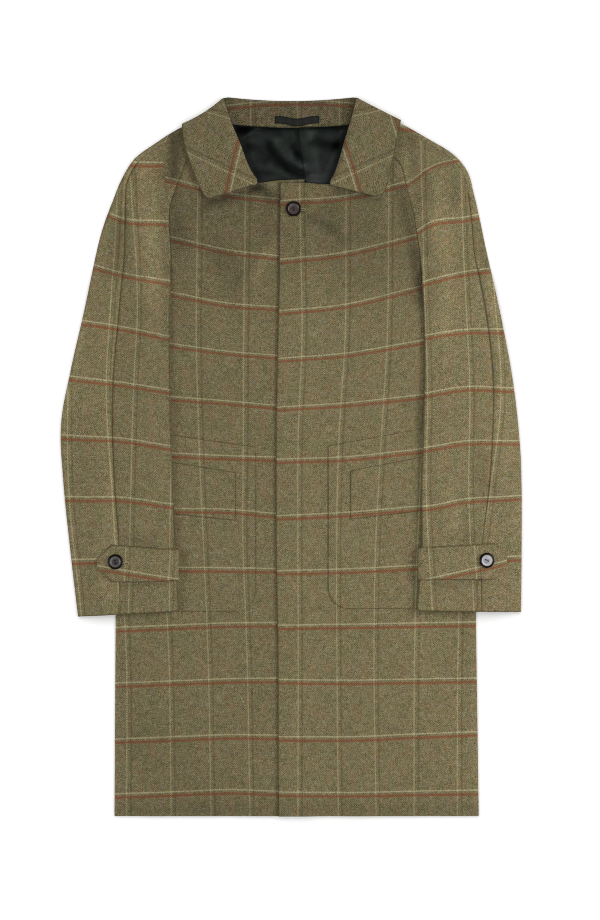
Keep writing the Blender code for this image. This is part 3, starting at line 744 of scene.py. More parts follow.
SLEEVE_LEFT_CHECK = Check(
    (-299, -241, -183),
    [
        (424, 420.5, 419),
        (365, 339, 335),
        (275.5, 259, 249),
        (190.5, 181.5, 169.5),
        (108, 101, 92),
        (23.5, 20.5, 11),
        (-64.5, -65, -73),
        (-155, -153.5, -159),
        (-243, -243, -249),
    ],
    SLEEVE_WARP_AT,
    [
        (-290, -282, -287, -290, -292),
        (-229, -221.5, -226.8, -230.8, -234),
        (-160, -166, -170.5, -174, -175.5),
    ],
    0,
)
SLEEVE_RIGHT_CHECK = Check(
    (168, 184, 194.5, 252, 310),
    [
        (471.5, 469, 467, 468, 475),
        (391, 402.5, 411, 430, 441.5),
        (314, 322.5, 329.5, 340.5, 351.5),
        (241, 244.5, 247.5, 261.5, 269),
        (165, 167.5, 169.5, 177.5, 178),
        (81, 83.5, 85.5, 95, 93.5),
        (4, 6, 7.5, 17, 17.5),
        (-79, -78, -77.5, -67, -63.5),
        (-161.5, -160, -159, -153, -151),
        (-242.5, -241, -240, -238, -238),
    ],
    SLEEVE_WARP_AT,
    [
        (190.5, 193.5, 197.5, 195.5, 203.5),
        (248, 252.5, 258, 256.5, 263.5),
        (304, 309, 320, 318, 324),
    ],
    0,
)
STRIP_LEFT_CHECK = SLEEVE_LEFT_CHECK.with_warp([
    (-316, -320, -322.5, -321.5, -304.5),
    (-253, -259.7, -266.6, -258.2, -248),
])
STRIP_RIGHT_CHECK = SLEEVE_RIGHT_CHECK.with_warp([
    (284, 294.5, 303.5, 288, 262),
    (345, 355, 362, 350, 345),
])
WARP_REPEAT = 60.0
WEFT_REPEAT = 79.0


class StraightCheck:
    def __init__(self, rust_at, rust_way, pale_at, pale_way):
        self.rust_at = rust_at
        self.pale_at = pale_at
        self.weft_rise = np.array([rust_way[1], -rust_way[0]]) / math.hypot(*rust_way)
        self.warp_rise = np.array([-pale_way[1], pale_way[0]]) / math.hypot(*pale_way)

    def count(self, x, y):
        down = (x - self.rust_at[0]) * self.weft_rise[0] + (y - self.rust_at[1]) * self.weft_rise[1]
        across = (x - self.pale_at[0]) * self.warp_rise[0] + (y - self.pale_at[1]) * self.warp_rise[1]
        return np.stack([across / WARP_REPEAT, down / WEFT_REPEAT], axis=-1)


class FanCheck(StraightCheck):
    def __init__(self, rust_at, rust_way, rust_apart, first_pale, next_pale):
        start, end = first_pale
        super().__init__(rust_at, rust_way, start, (end[0] - start[0], end[1] - start[1]))
        self.rust_apart = rust_apart
        self.first_pale = first_pale
        self.next_pale = next_pale

    def count(self, x, y):
        counts = super().count(x, y)
        first = height_over(x, y, *self.first_pale)
        second = height_over(x, y, *self.next_pale)
        counts[..., 0] = first / (first - second)
        counts[..., 1] = counts[..., 1] * WEFT_REPEAT / self.rust_apart
        return counts


def height_over(x, y, start, end):
    """Distance above a straight line through two places."""
    along = np.array(end) - np.array(start)
    way = along / np.hypot(*along)
    return way[0] * (y - start[1]) - way[1] * (x - start[0])


BACK_CHECK = StraightCheck((0.0, -491.0), (1.0, 0.0), (-29.0, 0.0), (0.0, -1.0))
LEAF_LEFT_REPEAT = 90.0
LEAF_LEFT_CHECK = FanCheck(
    (-76.8, 457.5), (-17.4, -74.7), LEAF_LEFT_REPEAT,
    ((-142.8, 435.7), (-52.2, 392.2)), ((-125.0, 498.5), (-85.0, 487.0)),
)
LEAF_RIGHT_CHECK = FanCheck(
    (78.3, 454.6), (-22.6, 71.1), WEFT_REPEAT,
    ((58.0, 393.7), (149.4, 435.7)), ((90.3, 491.5), (131.5, 500.5)),
)
STAND_CHECK = Check(
    (-90, 90),
    [(508, 510.9), (429, 431.9)],
    (520, 430),
    [(-126, -126), (-58.4, -58.4), (9.2, 9.2), (70, 70), (130, 130)],
    0,
)
STRAP_LEFT_CHECK = FanCheck(
    (-268.8, -164.9), (90.2, -14.9), WEFT_REPEAT,
    ((-238.0, -131.0), (-240.0, -178.0)), ((-173.4, -131.0), (-176.5, -175.0)),
)
STRAP_RIGHT_CHECK = FanCheck(
    (217.4, -177.6), (94.8, 21.9), WEFT_REPEAT,
    ((198.4, -131.0), (201.5, -176.0)), ((264.7, -131.0), (267.8, -176.0)),
)


# Making cloth

def rows_of_points(x, y, z):
    return np.stack([x, y, z], axis=-1)


def cloth(name, points, counts, wall, material, inset=FAR_INSIDE, painted_strokes=()):
    """A piece of cloth on a grid of points, with its own measure as a map, a wall and a soft round edge.
    inset is each point's distance from the nearest sewn or folded edge, where painted shade darkens the
    cloth, and the last argument lists strokes of painted light and painted shade that make it lighter or
    darker."""
    rows, columns = points.shape[:2]
    spots = np.arange(rows * columns).reshape(rows, columns)
    corners = [spots[:-1, :-1], spots[:-1, 1:], spots[1:, 1:], spots[1:, :-1]]
    faces = np.stack(corners, axis=-1).reshape(-1, 4)
    mesh = bpy.data.meshes.new(name)
    mesh.from_pydata((points.reshape(-1, 3) * MM).tolist(), [], faces.tolist())
    measure = mesh.uv_layers.new(name=CLOTH_MAP)
    measure.data.foreach_set("uv", counts.reshape(-1, 2)[faces.ravel()].ravel())
    # Painted light and painted shade from the strokes, stored at each point
    light = painted_shading_level(points[..., 0], points[..., 1], painted_strokes)
    for label, values in ((INSET, inset), (PAINTED_SHADING, light)):
        stored = mesh.attributes.new(name=label, type="FLOAT", domain="POINT")
        stored.data.foreach_set("value", np.broadcast_to(values, (rows, columns)).ravel())
    mesh.materials.append(material)
    piece = bpy.data.objects.new(name, mesh)
    bpy.context.scene.collection.objects.link(piece)
    thickness = piece.modifiers.new("wall", "SOLIDIFY")
    thickness.thickness = wall * MM
    thickness.offset = 0.0
    thickness.use_even_offset = True
    edge = piece.modifiers.new("edge", "BEVEL")
    edge.width = EDGE_ROUND * wall * MM
    edge.segments = EDGE_SEGMENTS
    edge.limit_method = "ANGLE"
    edge.angle_limit = EDGE_ANGLE
    apply_modifiers(piece)
    piece.data.shade_smooth()
    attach(piece, BODY)
    return piece


def tweed_piece(node, points, counts, inset=FAR_INSIDE, painted_strokes=(), wall=WOOL, contrast=1.0):
    """A piece of tweed in the tone of the node that it stands for: painted light and painted shade that
    make it lighter or darker.
    """
    piece = cloth(node + "_cloth", points, counts, wall, tweed(PAINTED_LIGHT_TONES[node], contrast), inset, painted_strokes)
    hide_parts(node)
    return piece


def start_modelling():
    """Leaves nothing selected, so that the next primitive is worked on alone."""
    if bpy.context.object is not None and bpy.context.object.mode != "OBJECT":
        bpy.ops.object.mode_set(mode="OBJECT")
    bpy.ops.object.select_all(action="DESELECT")


def work_on(piece, *others):
    """Selects only these pieces, with the first one active."""
    start_modelling()
    for each in (piece, *others):
        each.select_set(True)
    bpy.context.view_layer.objects.active = piece


def apply_modifiers(piece):
    work_on(piece)
    for modifier in list(piece.modifiers):
        bpy.ops.object.modifier_apply(modifier=modifier.name)


def stations(start, end, count):
    """Places from start to end, close together near both ends."""
    near = np.array(EDGE_STEPS) * (1.0 if end > start else -1.0)
    middle = np.linspace(start + near[-1], end - near[-1], count + 1)
    return np.concatenate([start + near[:-1], middle, (end - near[:-1])[::-1]])


def smooth_path(rows, step):
    """Rows on a smooth curve (Catmull-Rom) through the given ones, about a step apart in their first two
    columns."""
    values = np.array(rows, float)
    padded = np.vstack([2 * values[0] - values[1], values, 2 * values[-1] - values[-2]])
    found = []
    for before, start, end, after in zip(padded, padded[1:], padded[2:], padded[3:]):
        count = max(1, round(math.hypot(*(end - start)[:2]) / step))
        for part in np.arange(count) / count:
            bend = part * ((2 * before - 5 * start + 4 * end - after)
                           + part * (3 * (start - end) + after - before))
            found.append(start + 0.5 * part * (end - before + bend))
    found.append(values[-1])
    return np.array(found)


def evenly(path, parts):
    """Points along a path of points, at the given parts of its length."""
    path = np.array(path, float)
    steps = np.hypot(*np.diff(path, axis=0).T)
    reached = np.concatenate([[0.0], np.cumsum(steps)])
    spots = np.asarray(parts) * reached[-1]
    return np.stack([np.interp(spots, reached, path[:, 0]), np.interp(spots, reached, path[:, 1])], axis=-1)


# Body

BODY_STEP = 4.5
BACK_STEP = 8.0
NECK_BEND = 2.2
FRONT_EDGE_DROP = 0.5


def seam_dip(distance, y):
    """How far cloth sinks into a raglan seam, less where the layers under it leave no room."""
    return SEAM_DIP * (1.0 - ease(distance, 0.0, SEAM_WIDTH)) * ease(y, DIP_NONE_Y, DIP_FULL_Y)


def raglan(sleeve_rows):
    """The inner edge of a sleeve where it is sewn to the body, from the armpit up to the neck."""
    path = smooth_path([(row.inner_x, row.inner_y) for row in sleeve_rows], BODY_STEP)
    return path[path[:, 1] > ARMPIT_Y][::-1]


def body_side(side, sleeve_rows):
    """The outer edge of a front: from the hem up the side to the armpit, and from there to the neck."""
    below = [(row.left_x if side < 0 else row.right_x, row.y) for row in BODY_SIDES]
    above = raglan(sleeve_rows) - [side * SEAM_GAP, 0.0]
    below.append((above[0, 0], ARMPIT_Y))
    return below, np.vstack([below[-1], above])


def front(side_name, side, sleeve_rows, neck, edge, height, check):
    """A front from hem to neck. Above the armpit its rows bend over into the line of the neck."""
    below, above = body_side(side, sleeve_rows)
    low_rows = int((ARMPIT_Y - HEM_Y) / BODY_STEP)
    low_y = stations(HEM_Y, ARMPIT_Y, low_rows)
    low_x = x_at(low_y, below)
    length = np.sum(np.hypot(*np.diff(above, axis=0).T))
    high = evenly(above, np.linspace(0.0, 1.0, int(length / BODY_STEP)))[1:]
    outer = np.vstack([np.stack([low_x, low_y], axis=-1), high])
    rise = np.concatenate([np.zeros(len(low_y)), np.linspace(0.0, 1.0, len(high) + 1)[1:]])
    edge_y = np.where(rise > 0.0, between(ARMPIT_Y, neck[-1][1], rise), outer[:, 1])

    edge_path = smooth_path(edge, BODY_STEP)
    edge_x = np.interp(edge_y, edge_path[:, 1], edge_path[:, 0])
    width = abs(edge_x[0] - outer[0, 0])
    across = stations(0.0, width, int(width / BODY_STEP)) / width
    x = between(outer[:, :1], edge_x[:, None], across)
    y = between(outer[:, 1:], edge_y[:, None], across)
    neckline = evenly(smooth_path(neck, BODY_STEP), across)
    bend = rise[:, None] ** NECK_BEND
    x = x + bend * (neckline[:, 0] - x[-1])
    y = y + bend * (neckline[:, 1] - y[-1])

    seam_away = np.hypot(x - x[:, :1], y - y[:, :1])
    edge_away = np.hypot(x - x[:, -1:], y - y[:, -1:])
    neck_away = (1.0 - rise[:, None]) * length
    z = height(x, y) - seam_dip(seam_away, y) - FRONT_EDGE_DROP * (1.0 - ease(edge_away, 0.0, SEAM_WIDTH))
    raglan_away = np.where(rise[:, None] > 0.0, RAGLAN_FAINT * seam_away, FAR_INSIDE)
    inset = np.minimum(raglan_away, np.minimum(edge_away, neck_away))
    return tweed_piece("front_" + side_name, rows_of_points(x, y, z), check.count(x, y), inset, BODY_PAINTED_SHADING)


def back():
    below_left, above_left = body_side(-1, SLEEVE_LEFT)
    below_right, above_right = body_side(1, SLEEVE_RIGHT)
    low_y = stations(HEM_Y, ARMPIT_Y, int((ARMPIT_Y - HEM_Y) / BACK_STEP))
    parts = np.linspace(0.0, 1.0, int((BACK_NECK_Y - ARMPIT_Y) / BACK_STEP))[1:]
    sides = []
    for below, above, neck_x in (
        (below_left, above_left, BACK_NECK_LEFT_X),
        (below_right, above_right, BACK_NECK_RIGHT_X),
    ):
        low = np.stack([x_at(low_y, below), low_y], axis=-1)
        sides.append(np.vstack([low, evenly(above, parts), [(neck_x, BACK_NECK_Y)]]))
    left, right = sides
    width = right[0, 0] - left[0, 0]
    across = stations(0.0, width, int(width / BACK_STEP)) / width
    x = between(left[:, :1], right[:, :1], across)
    y = between(left[:, 1:], right[:, 1:], across)
    return tweed_piece("back", rows_of_points(x, y, back_height(x, y)), BACK_CHECK.count(x, y))


# Sleeves

CURL_REACH = 7.0
CURL_STEPS = 8
CURL_ANGLE = math.radians(78.0)
FOLD_REACH = 5.0
FOLD_STEPS = 12
UPPER_COLUMNS = 44
OVERARM_DIP = 1.2
CUFF_SEAM_FAINT = 2.2
CUFF_SEAM_FROM_Y = -150.0
CUFF_SEAM_TO_Y = -190.0
UNDER_COLUMNS = 18
STRIP_COLUMNS = 12
STRIP_EDGE_MOST = 0.9


class Sleeve:
    """A sleeve's rows, and places on it at a distance in from its outer edge."""

    def __init__(self, side_name, side, rows, check, strip_check):
        outer_x, outer_y, inner_x, inner_y, self.seam_in = smooth_path(rows, SLEEVE_STEP).T
        self.side_name = side_name
        self.side = side
        self.check = check
        self.strip_check = strip_check
        self.painted_strokes = SLEEVE_LEFT_PAINTED_SHADING if side < 0 else SLEEVE_RIGHT_PAINTED_SHADING
        self.outer = np.stack([outer_x, outer_y], axis=-1)
        inward = np.stack([inner_x, inner_y], axis=-1) - self.outer
        self.width = np.hypot(*inward.T)
        self.way = inward / self.width[:, None]
        self.curl = ease(inner_y, rows[ARMHOLE_ROW].inner_y, TUBE_OPEN_Y)

    def places(self, inward):
        x = self.outer[:, :1] + self.way[:, :1] * inward
        y = self.outer[:, 1:] + self.way[:, 1:] * inward
        return x, y

    def half_height(self, inward):
        x, y = self.places(inward)
        return (plain_upper_sleeve(x, y, self.side) - under_sleeve(x, y, self.side)) / 2.0

    def curled(self, inward):
        """How far the cloth near the inner edge curls towards the seam there."""
        near = np.clip((inward - self.width[:, None] + CURL_REACH) / CURL_REACH, 0.0, math.sin(CURL_ANGLE))
        round_part = (1.0 - np.sqrt(1.0 - near * near)) / (1.0 - math.cos(CURL_ANGLE))
        return round_part * (self.half_height(self.width[:, None]) - CURL_GAP) * self.curl[:, None]

    def curl_places(self):
        angles = np.linspace(0.0, CURL_ANGLE, CURL_STEPS + 1)
        return self.width[:, None] - CURL_REACH + CURL_REACH * np.sin(angles) / math.sin(CURL_ANGLE)

    def seam_hidden(self):
        """1 in the rows over the shoulder, where the overarm seam is turned under, 0 where it shows."""
        top = OVERARM_TOP_LEFT if self.side < 0 else OVERARM_TOP_RIGHT
        return ease(self.outer[:, 1:], top, top + OVERARM_FADE)

    def seam_faint(self):
        """How little the overarm seam shows in each row, more below the cuff strap."""
        return between(1.0, CUFF_SEAM_FAINT, ease(self.outer[:, 1:], CUFF_SEAM_FROM_Y, CUFF_SEAM_TO_Y))

    def seam_drop(self, distance):
        return OVERARM_DIP * (1.0 - ease(distance, 0.0, SEAM_WIDTH)) * (1.0 - self.seam_hidden())

    def cuff_away(self):
        """Each row's distance from the open end of the sleeve."""
        steps = np.hypot(*np.diff(self.outer, axis=0).T)
        return np.concatenate([np.cumsum(steps[::-1])[::-1], [0.0]])[:, None]

    def front(self):
        start = self.seam_in[:, None] + SEAM_GAP / 2.0
        curl = self.curl_places()
        near = np.array(EDGE_STEPS)
        parts = np.linspace(0.0, 1.0, UPPER_COLUMNS + 1)
        middle = between(start + near[-1], curl[:, :1], parts)
        inward = np.hstack([start + near[:-1], middle[:, :-1], curl])
        x, y = self.places(inward)
        from_inner = self.width[:, None] - inward
        z = upper_sleeve(x, y, self.side) - self.curled(inward) - self.seam_drop(inward - start)
        z = z - seam_dip(from_inner, y) * (1.0 - self.curl[:, None])
        seam_away = between(self.seam_faint() * (inward - start), FAR_INSIDE, self.seam_hidden())
        raglan_away = from_inner * between(RAGLAN_FAINT, 1.0, self.curl[:, None])
        inset = np.minimum(np.minimum(seam_away, raglan_away), self.cuff_away())
        counts = self.check.count(x, y)
        if self.side < 0:
            behind, along = tuck_side(x, y)
            counts = np.where((behind > 0.0)[..., None], FRONT_LEFT_CHECK.count(x, y), counts)
            # Painted shade along the line of the tuck's fold
            shown = (along > TUCK_SHOWS_FROM) & (behind > -TUCK_LINE)
            inset = np.minimum(inset, np.where(shown, TUCK_FAINT * np.abs(behind), FAR_INSIDE))
        points = rows_of_points(x, y, z)
        return tweed_piece("sleeve_front_" + self.side_name, points, counts, inset, self.painted_strokes)

    def back(self):
        """From the seam at the inner edge, under the arm and round the outer fold to the overarm seam."""
        curl = self.curl_places()[:, ::-1]
        parts = np.linspace(0.0, 1.0, UNDER_COLUMNS + 1)
        under = between(curl[:, -1:], FOLD_REACH, parts)[:, 1:-1]
        low_in = np.hstack([curl, under])
        low_x, low_y = self.places(low_in)
        low_z = under_sleeve(low_x, low_y, self.side) + self.curled(low_in)

        turn = np.linspace(0.0, math.pi, FOLD_STEPS + 1)
        fold_in = np.broadcast_to(FOLD_REACH * (1.0 - np.sin(turn)), (len(self.width), len(turn)))
        fold_x, fold_y = self.places(fold_in)
        foot_x, foot_y = self.places(np.full((len(self.width), 1), FOLD_REACH))
        foot = under_sleeve(foot_x, foot_y, self.side)
        head = upper_sleeve(foot_x, foot_y, self.side)
        fold_z = foot + (head - foot) * (1.0 - np.cos(turn)) / 2.0

        end = self.seam_in[:, None] - SEAM_GAP / 2.0
        near = np.array(EDGE_STEPS)
        reach = np.minimum(near[-1], (end - FOLD_REACH) * STRIP_EDGE_MOST)
        parts = np.linspace(0.0, 1.0, STRIP_COLUMNS + 1)[1:]
        strip_in = np.hstack([
            between(FOLD_REACH, end - reach, parts),
            end - reach * near[-2::-1] / near[-1],
        ])
        strip_x, strip_y = self.places(strip_in)
        strip_z = upper_sleeve(strip_x, strip_y, self.side) - self.seam_drop(end - strip_in)
        fold_z = fold_z - self.seam_drop(end - fold_in) * (turn > math.pi / 2.0)

        x = np.hstack([low_x, fold_x, strip_x])
        y = np.hstack([low_y, fold_y, strip_y])
        z = np.hstack([low_z, fold_z, strip_z])
        counts = self.back_counts(x, y, z, low_x.shape[1])
        inset = np.full(x.shape, FAR_INSIDE)
        seam_away = self.seam_faint() * (end - strip_in)
        inset[:, -strip_in.shape[1]:] = between(seam_away, FAR_INSIDE, self.seam_hidden())
        inset = np.minimum(inset, self.cuff_away())
        points = rows_of_points(x, y, z)
        return tweed_piece("sleeve_back_" + self.side_name, points, counts, inset, self.painted_strokes)

    def back_counts(self, x, y, z, low_columns):
        counts = self.strip_check.count(x, y)
        turn = low_columns + FOLD_STEPS
        steps = np.hypot(np.hypot(np.diff(x, axis=1), np.diff(y, axis=1)), np.diff(z, axis=1))
        reached = np.concatenate([np.zeros((len(x), 1)), np.cumsum(steps, axis=1)], axis=1)
        behind = self.side * (reached[:, turn:turn + 1] - reached) / WARP_REPEAT
        counts[:, :turn, 0] = (counts[:, turn:turn + 1, 0] + behind)[:, :turn]
        return counts


# Collar

COLLAR_ROLL = 0.14
ROLL_FALL_END = 0.95
FALL_BACK_STEP = 6.0
LEAF_FLAT_FROM = 0.92
LEAF_EDGE_COLUMNS = 4
ROLL_COLUMNS = 8
LEAF_END_LIFT = 0.75
LEAF_END_ROWS = 6
LEAF_EDGE_LIFT = 2.8
LEAF_EDGE_FROM = 0.45


def leaf_across():
    """Places across a leaf, from its roll at 0 to its outer edge at 1, close together round the roll."""
    turn = np.linspace(0.0, math.pi / 2.0, ROLL_COLUMNS)
    roll = COLLAR_ROLL * (1.0 - np.cos(turn))
    flat = np.linspace(COLLAR_ROLL, LEAF_FLAT_FROM, LEAF_COLUMNS)
    edge = np.linspace(LEAF_FLAT_FROM, 1.0, LEAF_EDGE_COLUMNS)
    return np.concatenate([roll, flat[1:], edge[1:]])


def across_leaf(path):
    """Places on straight lines from the roll to the outer edge, one line for each row of a path."""
    roll_x, roll_y, edge_x, edge_y = path.T[..., None]
    across = leaf_across()
    return between(roll_x, edge_x, across), between(roll_y, edge_y, across)


def roll_shape(across):
    """How high the roll of a leaf stands: a round edge at 0, and a long fall to its outer edge."""
    near = np.clip(1.0 - across / COLLAR_ROLL, 0.0, 1.0)
    return np.sqrt(1.0 - near * near) * (1.0 - ease(across, COLLAR_ROLL, ROLL_FALL_END))


def outward(start, end):
    """The way up and out of the coat, square to a line."""
    along = end - start
    way = np.array([-along[1], along[0]]) / np.hypot(*along)
    return way if way[1] > 0.0 else -way


def leaf_lines(rows, hollow):
    """Lines across a leaf from its front end to where it turns under, where the roll has flattened out.
    The last ones bend in by the hollow of its turned end."""
    path = smooth_path(rows, LEAF_STEP)
    across = leaf_across()
    along = np.arange(len(path))[:, None]
    last = len(path) - 1
    raised = 1.0 - ease(along, ROLL_FADE_START * last, last)
    lift = raised * between(LEAF_END_LIFT, 1.0, ease(along, 0.0, LEAF_END_ROWS))
    x, y = across_leaf(path)
    bent = hollow * np.sin(math.pi * across) * ease(along, HOLLOW_FROM * last, last)
    out_x, out_y = outward(path[-1, :2], path[-1, 2:])
    x = x - out_x * bent
    y = y - out_y * bent
    edge = LEAF_EDGE_LIFT * ease(across, LEAF_EDGE_FROM, 1.0) * raised
    over = np.maximum(0.0, draped(x, y)) + WOOL + LEAF_GAP
    z = front_height(x, y) + over + edge + ROLL_LIFT * lift * roll_shape(across)
    return rows_of_points(x, y, z)


def moved_out(line, reach):
    """Places beside a leaf's last line, each as far away from the neck as its reach."""
    out_x, out_y = outward(line[0, :2], line[-1, :2])
    return line[:, 0] + out_x * reach, line[:, 1] + out_y * reach


def turned(leaf, check):
    """A leaf with the round turn from its last line down to the layer under the back neck, and its check,
    carried on round the turn at its own width."""
    line = leaf[-1]
    part = np.linspace(0.0, 1.0, len(line))
    corner = (1.0 - part ** TURN_CORNER) * (1.0 - TURN_TOP_CUT * (1.0 - part) ** TURN_TOP_CORNER)
    angle = np.linspace(0.0, math.pi, COLLAR_TURN_STEPS + 1)[1:, None]
    radius = (line[:, 2] - WOOL / 2.0) / 2.0
    x, y = moved_out(line, TURN_REACH * radius * np.sin(angle) * corner)
    turn = rows_of_points(x, y, WOOL / 2.0 + radius * (1.0 + np.cos(angle)))
    flat_x, flat_y = moved_out(line, radius * (1.0 - np.cos(angle)))
    counts = np.concatenate([check.count(leaf[..., 0], leaf[..., 1]), check.count(flat_x, flat_y)])
    return np.concatenate([leaf, turn]), counts


def collar_fall():
    left, left_counts = turned(leaf_lines(LEAF_LEFT, LEAF_LEFT_HOLLOW), LEAF_LEFT_CHECK)
    right, right_counts = turned(leaf_lines(LEAF_RIGHT, LEAF_RIGHT_HOLLOW), LEAF_RIGHT_CHECK)
    behind = smooth_path([LEAF_LEFT[-1], *FALL_BACK, LEAF_RIGHT[-1]], FALL_BACK_STEP)[1:-1]
    x, y = across_leaf(behind)
    fall = rows_of_points(x, y, np.full(x.shape, WOOL / 2.0))
    points = np.concatenate([left, fall, right[::-1]])
    counts = np.concatenate([left_counts, STAND_CHECK.count(x, y), right_counts[::-1]])
    edge_away = np.hypot(*np.moveaxis(points[:, -1:, :2] - points[..., :2], -1, 0))
    spots = np.arange(len(points))[:, None]
    end_away = LEAF_STEP * np.minimum(spots, len(points) - 1 - spots)
    return tweed_piece("collar_fall", points, counts, np.minimum(edge_away, end_away))


STAND_ROLL = COLLAR_LIFT / 2.0
STAND_CHECK_BOW = 5.5
STAND_CONTRAST = 1.4


def collar_stand():
    """The stand behind the neck, rolling over its top edge down to the fall."""
    across = np.linspace(-1.0, 1.0, STAND_COLUMNS + 1)
    up = np.linspace(0.0, 1.0, STAND_ROWS + 1)[:, None]
    half = between(STAND_BOTTOM_HALF, STAND_TOP_HALF, up)
    bow = between(STAND_BOTTOM_BOW, STAND_TOP_BOW, up)
    x = half * across
    y = between(STAND_BOTTOM_Y, STAND_TOP_Y, up) + bow * across ** 2
    y = y - up * STAND_END_DROP * ease(np.abs(x), STAND_END_X, STAND_TOP_HALF)
    z = back_height(x, y) - SEAM_DIP * (1.0 - ease(up * (STAND_TOP_Y - STAND_BOTTOM_Y), 0.0, SEAM_WIDTH))
    turn = np.linspace(0.0, math.pi, STAND_ROLL_STEPS + 1)[1:, None]
    roll_x = np.repeat(x[-1:], STAND_ROLL_STEPS, axis=0)
    roll_y = y[-1] + STAND_ROLL * np.sin(turn)
    roll_z = z[-1] - STAND_ROLL * (1.0 - np.cos(turn))
    points = np.concatenate([rows_of_points(x, y, z), rows_of_points(roll_x, roll_y, roll_z)])
    over = y[-1] + STAND_ROLL * turn
    level = STAND_CHECK_BOW * across ** 2
    counts = np.concatenate([STAND_CHECK.count(x, y + level), STAND_CHECK.count(roll_x, over + level)])
    return tweed_piece("collar_stand", points, counts, contrast=STAND_CONTRAST)


def hanger_loop():
    along = np.linspace(0.0, 1.0, LOOP_COLUMNS + 1)
    up = np.linspace(0.0, 1.0, LOOP_ROWS + 1)[:, None]
    free = np.sin(math.pi * along) ** 2
    x = np.broadcast_to(between(LOOP_LEFT_X, LOOP_RIGHT_X, along), (LOOP_ROWS + 1, LOOP_COLUMNS + 1))
    y = LOOP_BOTTOM_Y + LOOP_WIDTH * up - LOOP_SAG * free + LOOP_WAVE * np.sin(LOOP_WAVES * math.pi * along)
    z = back_height(x, y) + WOOL / 2.0 + SEAM_GAP + TAPE / 2.0 + LOOP_SLACK * free
    counts = np.stack([x, np.broadcast_to(LOOP_WIDTH * up, x.shape)], axis=-1)
    from_end = (LOOP_RIGHT_X - LOOP_LEFT_X) * np.minimum(along, 1.0 - along)
    inset = np.minimum(from_end, LOOP_WIDTH * np.minimum(up, 1.0 - up))
    piece = cloth("hanger_loop_tape", rows_of_points(x, y, z), counts, TAPE, ribbed_tape(), inset)
    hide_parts("hanger_loop")
    return piece


# Lining

NECK_OPENING_LEFT = [(-47, 398), (-58, 424), (-70, 453), (-83.5, 484)]
NECK_OPENING_RIGHT = [(55, 398), (66, 430), (76, 460), (83.5, 488)]
NECK_OPENING_BOTTOM = 396.0
NECK_OPENING_TOP = 477.0
OPENING_FADE = 12.0
OPENING_TOP_FADE = 6.0
LINING_STEP = 2.0


def lining_folds(x, y):
    """How the satin stands up inside the neck opening, where nothing lies on it."""
    open_part = ease(x - x_at(y, NECK_OPENING_LEFT), 0.0, OPENING_FADE)
    open_part = open_part * ease(x_at(y, NECK_OPENING_RIGHT) - x, 0.0, OPENING_FADE)
    open_part = open_part * ease(y - NECK_OPENING_BOTTOM, 0.0, OPENING_FADE)
    open_part = open_part * ease(NECK_OPENING_TOP - y, 0.0, OPENING_TOP_FADE)
    return open_part * np.maximum(0.0, LINING_PUFF + soft_strokes(x, y, LINING_CREASES))


def lining(side_name, starts, ends, over):
    """One half of the lining, between two edges; over is how far its pleat edge stands up."""
    row_y = [row.y for row in LINING_ROWS]
    y = np.arange(row_y[0], row_y[-1], LINING_STEP)
    first = np.interp(y, row_y, starts)
    last = np.interp(y, row_y, ends)
    width = float(np.max(np.abs(last - first)))
    across = stations(0.0, width, int(width / LINING_STEP)) / width
    x = between(first[:, None], last[:, None], across)
    up = (y - row_y[0]) / (row_y[-1] - row_y[0])
    y = y[:, None] + LINING_TOP_BOW * up[:, None] * (x / LINING_HALF) ** 2
    pleat_x = np.interp(y, row_y, [row.pleat_x for row in LINING_ROWS])
    z = back_height(x, y) + WOOL / 2.0 + SEAM_GAP + LINING_CLOTH / 2.0 + lining_folds(x, y)
    z = z + over * (1.0 - ease(x - pleat_x, PLEAT_FLAT, PLEAT_FADE))
    name = "lining_" + side_name
    points = rows_of_points(x, y, z)
    measure = points[..., :2]
    piece = cloth(name + "_satin", points, measure, LINING_CLOTH, satin(), painted_strokes=LINING_GLEAM)
    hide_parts(name)
    return piece


def linings():
    pleat = [row.pleat_x for row in LINING_ROWS]
    under_pleat = [x + PLEAT_UNDERLAP for x in pleat]
    left = lining("left", [row.left_x for row in LINING_ROWS], under_pleat, 0.0)
    right = lining("right", pleat, [row.right_x for row in LINING_ROWS], PLEAT_STAND)
    return left, right


# Pockets

POCKET_STEP = 4.0
POCKET_CORNER_ROWS = 10
POCKET_EDGE_DROP = 0.2
PATCH_FAINT = 2.0
WELT_FAINT = 1.25


def on_front(layer, side, x, y):
    """Heights of pocket cloth that is this layer on a front."""
    height = left_front_height if side < 0 else right_front_height
    start = WOOL / 2.0 + SEAM_GAP + POCKET_CLOTH / 2.0
    return height(x, y) + start + (layer - PATCH_LAYER) * (POCKET_CLOTH + SEAM_GAP)


def upright(x, y):
    """Places one above the other."""
    return np.stack([np.full(len(y), x), y], axis=-1)


def pocket_piece(name, outer, inner, layer, side, check, faint):
    """Pocket cloth whose rows run from the hidden outer side to the inner one. faint is how little its
    edges show."""
    width = float(np.max(np.abs(inner[:, 0] - outer[:, 0])))
    across = stations(0.0, width, int(width / POCKET_STEP)) / width
    x = between(outer[:, :1], inner[:, :1], across)
    y = between(outer[:, 1:], inner[:, 1:], across)
    z = on_front(layer, side, x, y)
    z = z - POCKET_EDGE_DROP * (1.0 - ease((1.0 - across) * width, 0.0, SEAM_WIDTH))
    inset = faint * np.minimum((1.0 - across) * width, np.minimum(y - y[:1], y[-1:] - y))
    return tweed_piece(name, rows_of_points(x, y, z), check.count(x, y), inset, BODY_PAINTED_SHADING, POCKET_CLOTH)


